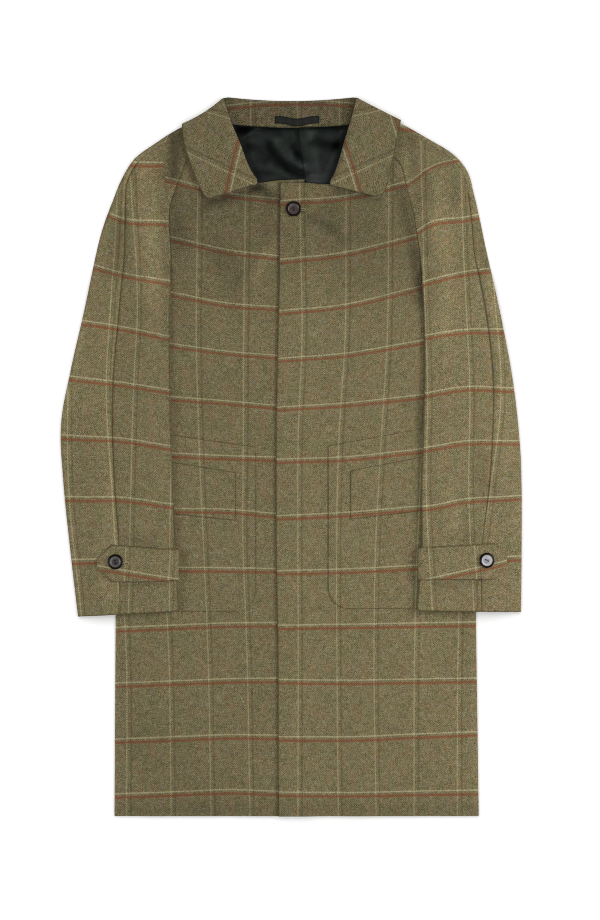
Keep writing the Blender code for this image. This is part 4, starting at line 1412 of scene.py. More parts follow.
def pocket(side_name, side, patch, welt, check):
    """A patch from its bottom up to its slanted top, and the welt on it."""
    angle = np.linspace(0.0, math.pi / 2.0, POCKET_CORNER_ROWS + 1)
    corner_y = patch.bottom_y + patch.corner * (1.0 - np.cos(angle))
    corner_x = patch.inner_x + side * patch.corner * (1.0 - np.sin(angle))
    start_y = patch.bottom_y + patch.corner
    height = patch.outer_top - start_y
    up = stations(0.0, height, int(height / POCKET_STEP))[1:] / height
    outer_y = np.concatenate([corner_y, between(start_y, patch.outer_top, up)])
    inner_y = np.concatenate([corner_y, between(start_y, patch.inner_top, up)])
    inner_x = np.concatenate([corner_x, np.full(len(up), patch.inner_x)])
    outer = upright(patch.outer_x, outer_y)
    inner = np.stack([inner_x, inner_y], axis=-1)
    patch_piece = pocket_piece(
        "pocket_patch_" + side_name, outer, inner, PATCH_LAYER, side, check, PATCH_FAINT)

    height = welt.outer_top - welt.outer_bottom
    up = stations(0.0, height, int(height / POCKET_STEP)) / height
    outer = upright(welt.outer_x, between(welt.outer_bottom, welt.outer_top, up))
    inner = upright(welt.inner_x, between(welt.inner_bottom, welt.inner_top, up))
    welt_piece = pocket_piece(
        "pocket_welt_" + side_name, outer, inner, WELT_LAYER, side, check, WELT_FAINT)
    return patch_piece, welt_piece


# Cuff straps

STRAP_STEP = 3.0
STRAP_COLUMNS = 14
STRAP_EDGE_DROP = 0.5
STRAP_END_REACH = 9.0
STRAP_END_DROP = 2.2
STRAP_TOP_SHADE = 0.65
STRAP_POINT_FAINT = 1.7
STRAP_POINT_REACH = 26.0


def strap_height(x, y, side):
    return upper_sleeve(x, y, side) + WOOL + STRAP_GAP


def left_strap_height(x, y):
    return strap_height(x, y, -1)


def right_strap_height(x, y):
    return strap_height(x, y, 1)


def strap(side_name, side, rows, check):
    """A cuff strap from its point to the end that turns round the sleeve's inner edge."""
    way = 1.0 if rows[-1].x > rows[0].x else -1.0
    length = abs(rows[-1].x - rows[0].x)
    along = stations(0.0, length, int(length / STRAP_STEP))
    x = rows[0].x + way * along
    known = [abs(row.x - rows[0].x) for row in rows]
    top = np.interp(along, known, [row.top_y for row in rows])
    bottom = np.interp(along, known, [row.bottom_y for row in rows])
    wide = float(np.max(top - bottom))
    across = stations(0.0, wide, STRAP_COLUMNS) / wide
    y = between(top[:, None], bottom[:, None], across)
    x = np.broadcast_to(x[:, None], y.shape)
    edge = np.minimum(across, 1.0 - across) * wide
    edge = np.minimum(edge, along[:, None])
    # Painted shade along the strap's edges, wider under its top edge and fainter at its point
    shade = np.minimum(edge, STRAP_TOP_SHADE * across * wide)
    shade = shade * between(STRAP_POINT_FAINT, 1.0, ease(along[:, None], 0.0, STRAP_POINT_REACH))
    z = strap_height(x, y, side) - STRAP_EDGE_DROP * (1.0 - ease(edge, 0.0, SEAM_WIDTH))
    z = z - STRAP_END_DROP * ease(along[:, None], length - STRAP_END_REACH, length) ** 2
    return tweed_piece("cuff_strap_" + side_name, rows_of_points(x, y, z), check.count(x, y), shade)


# Buttons

RingStep = namedtuple("RingStep", "radius height")
BUTTON_RINGS = [
    RingStep(9.0, 0.0),
    RingStep(10.2, 0.4),
    RingStep(10.8, 1.0),
    RingStep(11.0, 1.8),
    RingStep(10.8, 2.6),
    RingStep(10.2, 3.25),
    RingStep(9.4, 3.55),
    RingStep(8.6, 3.5),
    RingStep(7.9, 3.15),
    RingStep(7.2, 2.7),
    RingStep(6.2, 2.45),
    RingStep(4.6, 2.3),
    RingStep(1.0, 2.2),
]
FROM_MIDDLE = "from_middle"
RIM_INSIDE = 7.5
RIM_OUTSIDE = 8.3
BUTTON_SIDES = 56
BUTTON_HOLE_RADIUS = 1.05
BUTTON_HOLE_APART = 2.1
BUTTON_HOLE_SIDES = 16
BUTTON_SMOOTH = math.radians(40.0)
BUTTON_FOOT = BUTTON_RADIUS * np.array([(0, 0), (1, 0), (-1, 0), (0, 1), (0, -1)])
BUTTON_LIFT = 0.5
THREAD_RADIUS = 0.34
THREAD_SIDES = 10
THREAD_STEPS = 28
THREAD_RISE = 2.15
THREAD_FLAT = 0.45
THREAD_DEPTH = 0.9
THREAD_FILL_RADIUS = 1.0
THREAD_FILL_DEPTH = 1.5
THREAD_FILL_MIDDLE = 1.05
HOLE_STEPS = 26
HOLE_HALF_WIDTH = 0.95
HOLE_HALF_LENGTH = 8.5
HOLE_THREAD = 0.62
HOLE_LIFT = 0.15


def at_button_holes(radius, depth, middle):
    """Two upright cylinders where the button's holes are; middle is the height of their middle."""
    cylinders = []
    for side in (-1.0, 1.0):
        start_modelling()
        bpy.ops.mesh.primitive_cylinder_add(
            vertices=BUTTON_HOLE_SIDES, radius=radius * MM, depth=depth * MM,
            location=(side * BUTTON_HOLE_APART * MM, 0.0, middle * MM))
        cylinders.append(bpy.context.object)
    return cylinders


def button_shape():
    """The button all copies are made from: ring by ring from its foot, over the rim, into the dish."""
    start_modelling()
    bpy.ops.mesh.primitive_circle_add(
        vertices=BUTTON_SIDES, radius=BUTTON_RINGS[0].radius * MM, fill_type="NGON",
        location=(0.0, 0.0, 0.0))
    shape = bpy.context.object
    bpy.ops.object.mode_set(mode="EDIT")
    bpy.ops.mesh.select_all(action="SELECT")
    for low, high in zip(BUTTON_RINGS, BUTTON_RINGS[1:]):
        rise = (high.height - low.height) * MM
        size = high.radius / low.radius
        bpy.ops.mesh.extrude_region_move(TRANSFORM_OT_translate={"value": (0.0, 0.0, rise)})
        bpy.ops.transform.resize(value=(size, size, 1.0), center_override=(0.0, 0.0, high.height * MM))
    bpy.ops.mesh.select_all(action="SELECT")
    bpy.ops.mesh.normals_make_consistent(inside=False)
    bpy.ops.object.mode_set(mode="OBJECT")

    holes = at_button_holes(BUTTON_HOLE_RADIUS, BUTTON_RADIUS, 0.0)
    for hole in holes:
        cut = shape.modifiers.new("hole", "BOOLEAN")
        cut.operation = "DIFFERENCE"
        cut.solver = "EXACT"
        cut.object = hole
    apply_modifiers(shape)
    for hole in holes:
        bpy.data.objects.remove(hole)
    work_on(shape)
    bpy.ops.object.shade_smooth_by_angle(angle=BUTTON_SMOOTH)
    distances = [math.hypot(spot.co.x, spot.co.y) / MM for spot in shape.data.vertices]
    stored = shape.data.attributes.new(name=FROM_MIDDLE, type="FLOAT", domain="POINT")
    stored.data.foreach_set("value", distances)
    return shape


def thread_shape():
    """Thread that fills the button's holes and goes over its dish from one to the other."""
    start_modelling()
    bpy.ops.mesh.primitive_torus_add(
        major_segments=THREAD_STEPS, minor_segments=THREAD_SIDES,
        major_radius=BUTTON_HOLE_APART * MM, minor_radius=THREAD_RADIUS * MM,
        location=(0.0, 0.0, THREAD_RISE * MM), rotation=(math.pi / 2.0, 0.0, 0.0))
    arc = bpy.context.object
    bpy.ops.object.transform_apply(location=True, rotation=True, scale=True)
    bpy.ops.object.mode_set(mode="EDIT")
    bpy.ops.mesh.select_all(action="SELECT")
    bpy.ops.transform.resize(value=(1.0, 1.0, THREAD_FLAT), center_override=(0.0, 0.0, THREAD_RISE * MM))
    bpy.ops.mesh.select_all(action="SELECT")
    bpy.ops.mesh.bisect(
        plane_co=(0.0, 0.0, (THREAD_RISE - THREAD_DEPTH) * MM), plane_no=(0.0, 0.0, 1.0),
        use_fill=True, clear_inner=True)
    bpy.ops.object.mode_set(mode="OBJECT")
    fills = at_button_holes(THREAD_FILL_RADIUS, THREAD_FILL_DEPTH, THREAD_FILL_MIDDLE)
    work_on(arc, *fills)
    bpy.ops.object.join()
    bpy.ops.object.shade_smooth_by_angle(angle=BUTTON_SMOOTH)
    return arc


def buttonhole_shape():
    """A worked buttonhole: an oval ring of thread round a dark slit, a sheet of painted shade for the cut,
    drawn out to its length.
    """
    start_modelling()
    bpy.ops.mesh.primitive_torus_add(
        major_segments=HOLE_STEPS, minor_segments=THREAD_SIDES,
        major_radius=HOLE_HALF_WIDTH * MM, minor_radius=HOLE_THREAD * MM, location=(0.0, 0.0, 0.0))
    ring = bpy.context.object
    start_modelling()
    bpy.ops.mesh.primitive_circle_add(
        vertices=HOLE_STEPS, radius=HOLE_HALF_WIDTH * MM, fill_type="NGON", location=(0.0, 0.0, 0.0))
    slit = bpy.context.object
    ring.data.materials.append(spun_thread(BUTTONHOLE_THREAD))
    slit.data.materials.append(spun_thread(BUTTONHOLE_SLIT_SHADE))
    work_on(ring, slit)
    bpy.ops.object.join()
    for end in (-1.0, 1.0):
        for vertex in ring.data.vertices:
            vertex.select = vertex.co.x * end > 0.0
        for part in list(ring.data.edges) + list(ring.data.polygons):
            part.select = all(ring.data.vertices[spot].select for spot in part.vertices)
        bpy.ops.object.mode_set(mode="EDIT")
        bpy.ops.transform.translate(value=(end * HOLE_HALF_LENGTH * MM, 0.0, 0.0))
        bpy.ops.object.mode_set(mode="OBJECT")
    bpy.ops.object.shade_smooth_by_angle(angle=BUTTON_SMOOTH)
    return ring


def copy_to(shape, name, place, z, turn, tilt, material=None):
    """A copy of a shape with its own mesh, turned, tilted and moved to its place on the cloth."""
    mesh = shape.data.copy()
    mesh.name = name
    moved = Matrix.Translation((place[0] * MM, place[1] * MM, z * MM))
    mesh.transform(moved @ Matrix.Rotation(tilt, 4, "Y") @ Matrix.Rotation(turn, 4, "Z"))
    if material is not None:
        mesh.materials.clear()
        mesh.materials.append(material)
    piece = bpy.data.objects.new(name, mesh)
    bpy.context.scene.collection.objects.link(piece)
    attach(piece, BODY)
    return piece


def buttons():
    """The three buttons with their thread, each beside its buttonhole."""
    shape = button_shape()
    thread = thread_shape()
    hole = buttonhole_shape()
    for spot in BUTTON_PLACES:
        name = "button_" + spot.name
        foot = np.array(spot.place) + BUTTON_FOOT
        base = float(np.max(spot.height(foot[:, 0], foot[:, 1]))) + WOOL / 2.0 + BUTTON_LIFT
        material = horn(spot.horn_tone)
        disc = copy_to(shape, name + "_horn", spot.place, base, spot.turn, spot.tilt, material)
        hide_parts(name)
        material = spun_thread(SEWING_THREAD)
        sewn = copy_to(thread, name + "_thread", spot.place, base, spot.turn, spot.tilt, material)
        hole_x, hole_y = spot.hole_place
        hole_z = float(spot.height(np.array(hole_x), np.array(hole_y))) + WOOL / 2.0 + HOLE_LIFT
        worked = copy_to(hole, "buttonhole_" + spot.name, spot.hole_place, hole_z, spot.hole_slope, 0.0)
    for master in (shape, thread, hole):
        bpy.data.objects.remove(master)


# Materials

# Noise: its scale, detail and roughness, and the height of its slice, so that no two look alike
Grain = namedtuple("Grain", "scale detail roughness slice")
# Colour mixed in by a noise: the noise where it starts and where it is full, and how strong it gets
Tint = namedtuple("Tint", "start full strength colour")
# Relief in a surface: how strong, and how deep in metres
Relief = namedtuple("Relief", "strength depth")
NOISE_LOW = 0.25
NOISE_HIGH = 0.75
# Where a noise counts as all smooth and all rough
POLISH_LOW = 0.3
POLISH_HIGH = 0.7
# A screen's curve: straight for its darkest shades, and a power above them
SCREEN_WHITE = 255.0
STRAIGHT_TO = 0.04045
STRAIGHT_SLOPE = 12.92
CURVE_SHIFT = 0.055
CURVE_POWER = 2.4
# Sockets of a node that mixes colours
MIX_PART = 0
MIX_FIRST = 6
MIX_SECOND = 7
MIX_RESULT = 2
HALF_REPEAT = 0.5
PERCENT = 100


def paint(red, green, blue):
    """A colour as a screen shows it, in shades from 0 to 255, turned into amounts of light."""
    light = []
    for shade in (red, green, blue):
        part = shade / SCREEN_WHITE
        if part <= STRAIGHT_TO:
            light.append(part / STRAIGHT_SLOPE)
        else:
            light.append(((part + CURVE_SHIFT) / (1.0 + CURVE_SHIFT)) ** CURVE_POWER)
    return (*light, 1.0)


class Pattern:
    """Adds nodes to a tree. What it adds comes back as an output, to be put into the next."""

    def __init__(self, tree):
        self.tree = tree

    def put(self, socket, value):
        if isinstance(value, bpy.types.NodeSocket):
            self.tree.links.new(value, socket)
        else:
            socket.default_value = value

    def add(self, kind, output, inputs, **settings):
        node = self.tree.nodes.new(kind)
        for name, value in settings.items():
            setattr(node, name, value)
        for socket, value in inputs.items():
            self.put(node.inputs[socket], value)
        return node.outputs[output]

    def axes(self, place):
        """The x and y of a place."""
        node = self.tree.nodes.new("ShaderNodeSeparateXYZ")
        self.put(node.inputs[0], place)
        return node.outputs["X"], node.outputs["Y"]

    def cloth_map(self):
        return self.add("ShaderNodeUVMap", "UV", {}, uv_map=CLOTH_MAP)

    def object_place(self):
        return self.add("ShaderNodeTexCoord", "Object", {})

    def stored(self, name):
        """A value that the mesh carries at its points."""
        return self.add("ShaderNodeAttribute", "Fac", {}, attribute_name=name)

    def sum(self, operation, *values):
        """One step of arithmetic."""
        return self.add("ShaderNodeMath", 0, dict(enumerate(values)), operation=operation)

    def place(self, x, y, z=0.0):
        return self.add("ShaderNodeCombineXYZ", 0, {0: x, 1: y, 2: z})

    def noise(self, place, grain):
        looks = {"Scale": grain.scale, "Detail": grain.detail, "Roughness": grain.roughness}
        return self.add("ShaderNodeTexNoise", "Fac", {"Vector": place, **looks})

    def grained(self, x, y, grain):
        return self.noise(self.place(x, y, grain.slice), grain)

    def level(self, value, low, high, first=0.0, last=1.0):
        """First at low and last at high, smooth between them."""
        ends = {"Value": value, "From Min": low, "From Max": high, "To Min": first, "To Max": last}
        return self.add("ShaderNodeMapRange", "Result", ends, interpolation_type="SMOOTHSTEP")

    def mix(self, part, first, second):
        colours = {MIX_PART: part, MIX_FIRST: first, MIX_SECOND: second}
        return self.add("ShaderNodeMix", MIX_RESULT, colours, data_type="RGBA")

    def tinted(self, ground, noise, tints):
        for tint in tints:
            part = self.level(noise, tint.start, tint.full, 0.0, tint.strength)
            ground = self.mix(part, ground, tint.colour)
        return ground

    def scaled(self, colour, amount):
        """A colour made lighter or darker."""
        factors = {0: colour, 1: self.place(amount, amount, amount)}
        return self.add("ShaderNodeVectorMath", 0, factors, operation="MULTIPLY")

    def stripe(self, count, at, repeat, half, soft):
        """1 on the line that crosses at this part of every repeat, 0 off it; sizes in millimetres."""
        away = self.sum("WRAP", self.sum("SUBTRACT", count, at), HALF_REPEAT, -HALF_REPEAT)
        distance = self.sum("ABSOLUTE", self.sum("MULTIPLY", away, repeat))
        return self.level(distance, half - soft, half + soft, 1.0, 0.0)


def new_material(name, roughness, specular):
    material = bpy.data.materials.new(name)
    material.use_nodes = True
    shader = material.node_tree.nodes["Principled BSDF"]
    shader.inputs["Roughness"].default_value = roughness
    shader.inputs["Specular IOR Level"].default_value = specular
    return material, shader, Pattern(material.node_tree)


def roughened(shader, pattern, noise, smooth, rough):
    roughness = pattern.level(noise, POLISH_LOW, POLISH_HIGH, smooth, rough)
    pattern.put(shader.inputs["Roughness"], roughness)


def bumped(shader, pattern, height, relief):
    sizes = {"Height": height, "Strength": relief.strength, "Distance": relief.depth}
    pattern.put(shader.inputs["Normal"], pattern.add("ShaderNodeBump", "Normal", sizes))


# Tweed: the herringbone's sizes in millimetres, and how the tone of a thread runs along it
TWILL_REPEAT = 3.3
CHEVRON = 9.0
TWILL_SOFT = 0.6
TWILL_RISE = 0.3
THREAD_LENGTH = 7.0
BAND_LENGTH = 5.0
BAND_SHARE = 0.35
SPOT_SHARE = 0.65
WARP_GRAIN = Grain(0.9, 1.0, 0.5, 0.0)
WEFT_GRAIN = Grain(0.9, 1.0, 0.5, 7.0)
FLECK_GRAIN = Grain(0.5, 2.0, 0.9, 3.0)
BAND_GRAIN = Grain(0.09, 1.0, 0.5, 21.0)
SPOT_GRAIN = Grain(0.26, 2.0, 0.7, 33.0)
GREY_GRAIN = Grain(0.22, 2.0, 0.7, 47.0)
PATCH_GRAIN = Grain(0.05, 2.0, 0.7, 61.0)
CLOUD_GRAIN = Grain(0.07, 2.0, 0.6, 11.0)
CLOUD_DARK = 0.94
CLOUD_LIGHT = 1.06
WARP_DARK = paint(92, 84, 52)
WARP_LIGHT = paint(138, 128, 96)
WEFT_DARK = paint(64, 57, 28)
WEFT_LIGHT = paint(114, 104, 77)
FLECK_DARK = paint(46, 40, 15)
FLECK_LIGHT = paint(164, 156, 124)
TINT_BROWN = paint(122, 92, 58)
TINT_OLIVE = paint(88, 92, 48)
TINT_GREY = paint(118, 112, 102)
GROUND_MEAN = paint(104, 96, 66)
FLECK_TINTS = [Tint(0.53, 0.72, 0.7, FLECK_LIGHT), Tint(0.47, 0.28, 0.8, FLECK_DARK)]
HUE_TINTS = [Tint(0.5, 0.62, 0.28, TINT_BROWN), Tint(0.5, 0.38, 0.28, TINT_OLIVE)]
GREY_TINTS = [Tint(0.54, 0.66, 0.42, TINT_GREY)]
PATCH_TINTS = [Tint(0.5, 0.64, 0.18, TINT_BROWN), Tint(0.5, 0.36, 0.18, TINT_OLIVE)]
# Lines of the check: where in the repeat, half the width and its softness in millimetres, how much shows
# where the line's threads pass under the others, and its colour and strength
CheckLine = namedtuple("CheckLine", "at half soft under colour strength")
WARP_LINES = [
    CheckLine(0.1, 1.2, 0.8, 0.4, paint(58, 50, 26), 0.5),
    CheckLine(0.0, 0.85, 0.75, 0.4, paint(174, 165, 124), 0.54),
]
WEFT_LINES = [
    CheckLine(0.928, 0.95, 0.6, 0.35, paint(196, 188, 148), 0.5),
    CheckLine(0.0, 1.75, 1.2, 0.55, paint(112, 54, 28), 0.95),
]
WEAR_FROM = 0.3
WEAR_TO = 0.55
WORN_PART = 0.65
# Painted shade along sewn and folded edges: how far in it looks darkest, how far in it no longer shows, and
# its colour
EDGE_FULL_IN = 0.4
EDGE_NONE_IN = 2.2
PAINTED_EDGE_SHADE = paint(40, 30, 0)
PAINTED_EDGE_SHADE_PART = 0.56
TWEED_ROUGHNESS = 0.93
TWEED_SPECULAR = 0.2
TWEED_SHEEN = 0.12
TWEED_SHEEN_ROUGHNESS = 0.5
TWEED_RELIEF = Relief(0.5, 0.0005)


def tweed_ground(weave, across, down, warp_up, warp_tone, flecks):
    """The cloth without its check: warp and weft threads in their own tones, flecked and tinted."""
    weft_tone = weave.grained(weave.sum("DIVIDE", across, THREAD_LENGTH), down, WEFT_GRAIN)
    warp_colour = weave.mix(weave.level(warp_tone, NOISE_LOW, NOISE_HIGH), WARP_DARK, WARP_LIGHT)
    weft_colour = weave.mix(weave.level(weft_tone, NOISE_LOW, NOISE_HIGH), WEFT_DARK, WEFT_LIGHT)
    ground = weave.mix(warp_up, weft_colour, warp_colour)
    ground = weave.tinted(ground, flecks, FLECK_TINTS)
    bands = weave.grained(across, weave.sum("DIVIDE", down, BAND_LENGTH), BAND_GRAIN)
    spots = weave.grained(across, down, SPOT_GRAIN)
    banded = weave.sum("MULTIPLY", bands, BAND_SHARE)
    hue = weave.sum("ADD", banded, weave.sum("MULTIPLY", spots, SPOT_SHARE))
    ground = weave.tinted(ground, hue, HUE_TINTS)
    ground = weave.tinted(ground, weave.grained(across, down, GREY_GRAIN), GREY_TINTS)
    return weave.tinted(ground, weave.grained(across, down, PATCH_GRAIN), PATCH_TINTS)


def lined(weave, ground, count, repeat, lines, on_top, wear):
    """The cloth with lines of the check; on_top is 1 where the lines' threads pass over the others."""
    for line in lines:
        stripe = weave.stripe(count, line.at, repeat, line.half, line.soft)
        shown = weave.sum("MULTIPLY", stripe, weave.level(on_top, 0.0, 1.0, line.under, 1.0))
        part = weave.sum("MULTIPLY", shown, weave.sum("MULTIPLY", wear, line.strength))
        ground = weave.mix(part, ground, line.colour)
    return ground


@cache
def tweed_group():
    """The cloth's pattern by its own counts: a herringbone of mixed threads with the lines of the check,
    darker with painted shade along sewn and folded edges."""
    group = bpy.data.node_groups.new("tweed_weave", "ShaderNodeTree")
    face = group.interface
    face.new_socket(name="Cloth", in_out="INPUT", socket_type="NodeSocketVector")
    for name in ("Inset", "PaintedShading", "Tone", "Contrast"):
        face.new_socket(name=name, in_out="INPUT", socket_type="NodeSocketFloat")
    face.new_socket(name="Colour", in_out="OUTPUT", socket_type="NodeSocketColor")
    face.new_socket(name="Height", in_out="OUTPUT", socket_type="NodeSocketFloat")
    given = group.nodes.new("NodeGroupInput")
    made = group.nodes.new("NodeGroupOutput")
    weave = Pattern(group)
    warp, weft = weave.axes(given.outputs["Cloth"])
    across = weave.sum("MULTIPLY", warp, WARP_REPEAT)
    down = weave.sum("MULTIPLY", weft, WEFT_REPEAT)

    zigzag = weave.sum("PINGPONG", across, CHEVRON)
    turns = weave.sum("DIVIDE", weave.sum("ADD", zigzag, down), TWILL_REPEAT)
    twill = weave.sum("SINE", weave.sum("MULTIPLY", turns, 2.0 * math.pi))
    warp_up = weave.level(twill, -TWILL_SOFT, TWILL_SOFT)
    weft_up = weave.sum("SUBTRACT", 1.0, warp_up)
    warp_tone = weave.grained(across, weave.sum("DIVIDE", down, THREAD_LENGTH), WARP_GRAIN)
    flecks = weave.grained(across, down, FLECK_GRAIN)

    ground = tweed_ground(weave, across, down, warp_up, warp_tone, flecks)
    stronger = {MIX_PART: given.outputs["Contrast"], MIX_FIRST: GROUND_MEAN, MIX_SECOND: ground}
    settings = {"data_type": "RGBA", "clamp_factor": False, "clamp_result": True}
    ground = weave.add("ShaderNodeMix", MIX_RESULT, stronger, **settings)
    wear = weave.level(flecks, WEAR_FROM, WEAR_TO, WORN_PART, 1.0)
    ground = lined(weave, ground, warp, WARP_REPEAT, WARP_LINES, warp_up, wear)
    ground = lined(weave, ground, weft, WEFT_REPEAT, WEFT_LINES, weft_up, wear)

    # Painted shade in the seams and along folded edges, mixed towards a dark brown
    edge = weave.level(given.outputs["Inset"], EDGE_FULL_IN, EDGE_NONE_IN, PAINTED_EDGE_SHADE_PART, 0.0)
    ground = weave.mix(edge, ground, PAINTED_EDGE_SHADE)
    mottle = weave.grained(across, down, CLOUD_GRAIN)
    clouds = weave.level(mottle, NOISE_LOW, NOISE_HIGH, CLOUD_DARK, CLOUD_LIGHT)
    # Painted light and painted shade: the piece's tone makes it lighter or darker as the light falls on it;
    # the clouds are the cloth's own mottling
    tone = weave.sum("MULTIPLY", clouds, given.outputs["Tone"])
    # Painted light and painted shade: the strokes stored on the mesh make the cloth lighter or darker
    tone = weave.sum("MULTIPLY", tone, given.outputs["PaintedShading"])
    weave.put(made.inputs["Colour"], weave.scaled(ground, tone))
    height = weave.sum("ADD", weave.sum("MULTIPLY", twill, TWILL_RISE), warp_tone)
    weave.put(made.inputs["Height"], weave.sum("ADD", height, flecks))
    return group


@cache
def tweed(tone, contrast):
    """The tweed in the tone of one piece, which is painted light and painted shade, with its weave as
    strong as it shows there.
    """
    name = "tweed_%d" % round(tone * PERCENT)
    material, shader, pattern = new_material(name, TWEED_ROUGHNESS, TWEED_SPECULAR)
    shader.inputs["Sheen Weight"].default_value = TWEED_SHEEN
    shader.inputs["Sheen Roughness"].default_value = TWEED_SHEEN_ROUGHNESS
    weave = material.node_tree.nodes.new("ShaderNodeGroup")
    weave.node_tree = tweed_group()
    pattern.put(weave.inputs["Cloth"], pattern.cloth_map())
    pattern.put(weave.inputs["Inset"], pattern.stored(INSET))
    pattern.put(weave.inputs["PaintedShading"], pattern.stored(PAINTED_SHADING))
    pattern.put(weave.inputs["Tone"], tone)
    pattern.put(weave.inputs["Contrast"], contrast)
    pattern.put(shader.inputs["Base Color"], weave.outputs["Colour"])
    bumped(shader, pattern, weave.outputs["Height"], TWEED_RELIEF)
    return material


# Satin
SATIN_DARK = paint(13, 16, 14)
SATIN_LIGHT = paint(25, 31, 27)
SATIN_SPECULAR = 0.14
SATIN_SMOOTH = 0.36
SATIN_ROUGH = 0.5
SATIN_THREAD_LENGTH = 8.0
SATIN_THREAD_WIDTH = 0.5
SATIN_THREAD_GRAIN = Grain(1.0, 1.0, 0.5, 0.0)
SATIN_CLOUD_GRAIN = Grain(0.06, 2.0, 0.5, 5.0)
SATIN_THREAD_SHARE = 0.5
SATIN_TONE_LOW = 0.35
SATIN_TONE_HIGH = 0.65
SATIN_RELIEF = Relief(0.25, 0.0002)


@cache
def satin():
    """The lining: smooth dark cloth, a little uneven, with fine threads across it."""
    material, shader, pattern = new_material("lining_satin", SATIN_SMOOTH, SATIN_SPECULAR)
    x, y = pattern.axes(pattern.cloth_map())
    along = pattern.sum("DIVIDE", x, SATIN_THREAD_LENGTH)
    threads = pattern.grained(along, pattern.sum("DIVIDE", y, SATIN_THREAD_WIDTH), SATIN_THREAD_GRAIN)
    cloudy = pattern.grained(x, y, SATIN_CLOUD_GRAIN)
    threaded = pattern.sum("MULTIPLY", threads, SATIN_THREAD_SHARE)
    part = pattern.sum("ADD", threaded, pattern.sum("MULTIPLY", cloudy, 1.0 - SATIN_THREAD_SHARE))
    colour = pattern.mix(pattern.level(part, SATIN_TONE_LOW, SATIN_TONE_HIGH), SATIN_DARK, SATIN_LIGHT)
    # Painted highlights and painted shade on the satin: the strokes stored on the mesh lighten or darken
    # its colour and its shine
    gleam = pattern.stored(PAINTED_SHADING)
    pattern.put(shader.inputs["Base Color"], pattern.scaled(colour, gleam))
    pattern.put(shader.inputs["Specular IOR Level"], pattern.sum("MULTIPLY", gleam, SATIN_SPECULAR))
    roughened(shader, pattern, cloudy, SATIN_SMOOTH, SATIN_ROUGH)
    bumped(shader, pattern, threads, SATIN_RELIEF)
    return material


# Tape
TAPE_DARK = paint(14, 15, 13)
TAPE_LIGHT = paint(47, 50, 46)
TAPE_SPECULAR = 0.12
TAPE_SMOOTH = 0.65
TAPE_ROUGH = 0.85
TAPE_RIB = 1.3
TAPE_RIB_SHARE = 0.2
TAPE_GRAIN = Grain(1.1, 2.0, 0.5, 0.0)
TAPE_TONE_LOW = 0.3
TAPE_TONE_HIGH = 0.8
TAPE_EDGE_FROM = 0.3
TAPE_EDGE_TO = 2.4
TAPE_EDGE_SHADE = 0.8
TAPE_RELIEF = Relief(0.4, 0.0003)


def ribbed_tape():
    """Black tape with fine ribs across it."""
    material, shader, pattern = new_material("ribbed_tape", TAPE_SMOOTH, TAPE_SPECULAR)
    x, y = pattern.axes(pattern.cloth_map())
    ribs = pattern.sum("SINE", pattern.sum("MULTIPLY", x, 2.0 * math.pi / TAPE_RIB))
    grain = pattern.grained(x, y, TAPE_GRAIN)
    part = pattern.sum("ADD", pattern.sum("MULTIPLY", ribs, TAPE_RIB_SHARE), grain)
    colour = pattern.mix(pattern.level(part, TAPE_TONE_LOW, TAPE_TONE_HIGH), TAPE_DARK, TAPE_LIGHT)
    edge = pattern.level(pattern.stored(INSET), TAPE_EDGE_FROM, TAPE_EDGE_TO, TAPE_EDGE_SHADE, 0.0)
    pattern.put(shader.inputs["Base Color"], pattern.mix(edge, colour, TAPE_DARK))
    roughened(shader, pattern, grain, TAPE_SMOOTH, TAPE_ROUGH)
    bumped(shader, pattern, pattern.sum("ADD", ribs, grain), TAPE_RELIEF)
    return material


# Horn
HornTone = namedtuple("HornTone", "name dark mid light ring")
BROWN_HORN = HornTone(
    "brown_horn", paint(44, 38, 36), paint(66, 58, 56), paint(90, 80, 78), paint(70, 62, 61))
BLACK_HORN = HornTone(
    "black_horn", paint(34, 30, 31), paint(58, 52, 53), paint(98, 92, 92), paint(92, 88, 90))
# The right cuff button's horn: pale and silvery, a painted reflection of the light on its face
PAINTED_SHINE_HORN = HornTone(
    "horn_painted_shine", paint(112, 110, 114), paint(160, 158, 162), paint(206, 205, 207), paint(172, 172, 174))
HORN_RIM = paint(18, 12, 8)
HORN_SHINE = 0.35
RIM_SHINE = 0.1
HORN_SMOOTH = 0.22
HORN_ROUGH = 0.36
# A lighter ring in the dish: a painted highlight where the dish's slope catches the light
RING_INSIDE = 4.0
RING_OUTSIDE = 6.6
PAINTED_RING_HIGHLIGHT = 0.75
STREAK_LENGTH = 18.0
STREAK_WIDTH = 4.0
STREAK_GRAIN = Grain(1.0, 4.0, 0.6, 0.0)
STREAK_DARK = 0.3
STREAK_MID = 0.55
STREAK_LIGHT = 0.8
POLISH_GRAIN = Grain(7.0, 2.0, 0.5, 9.0)
HORN_RELIEF = Relief(0.15, 0.0002)


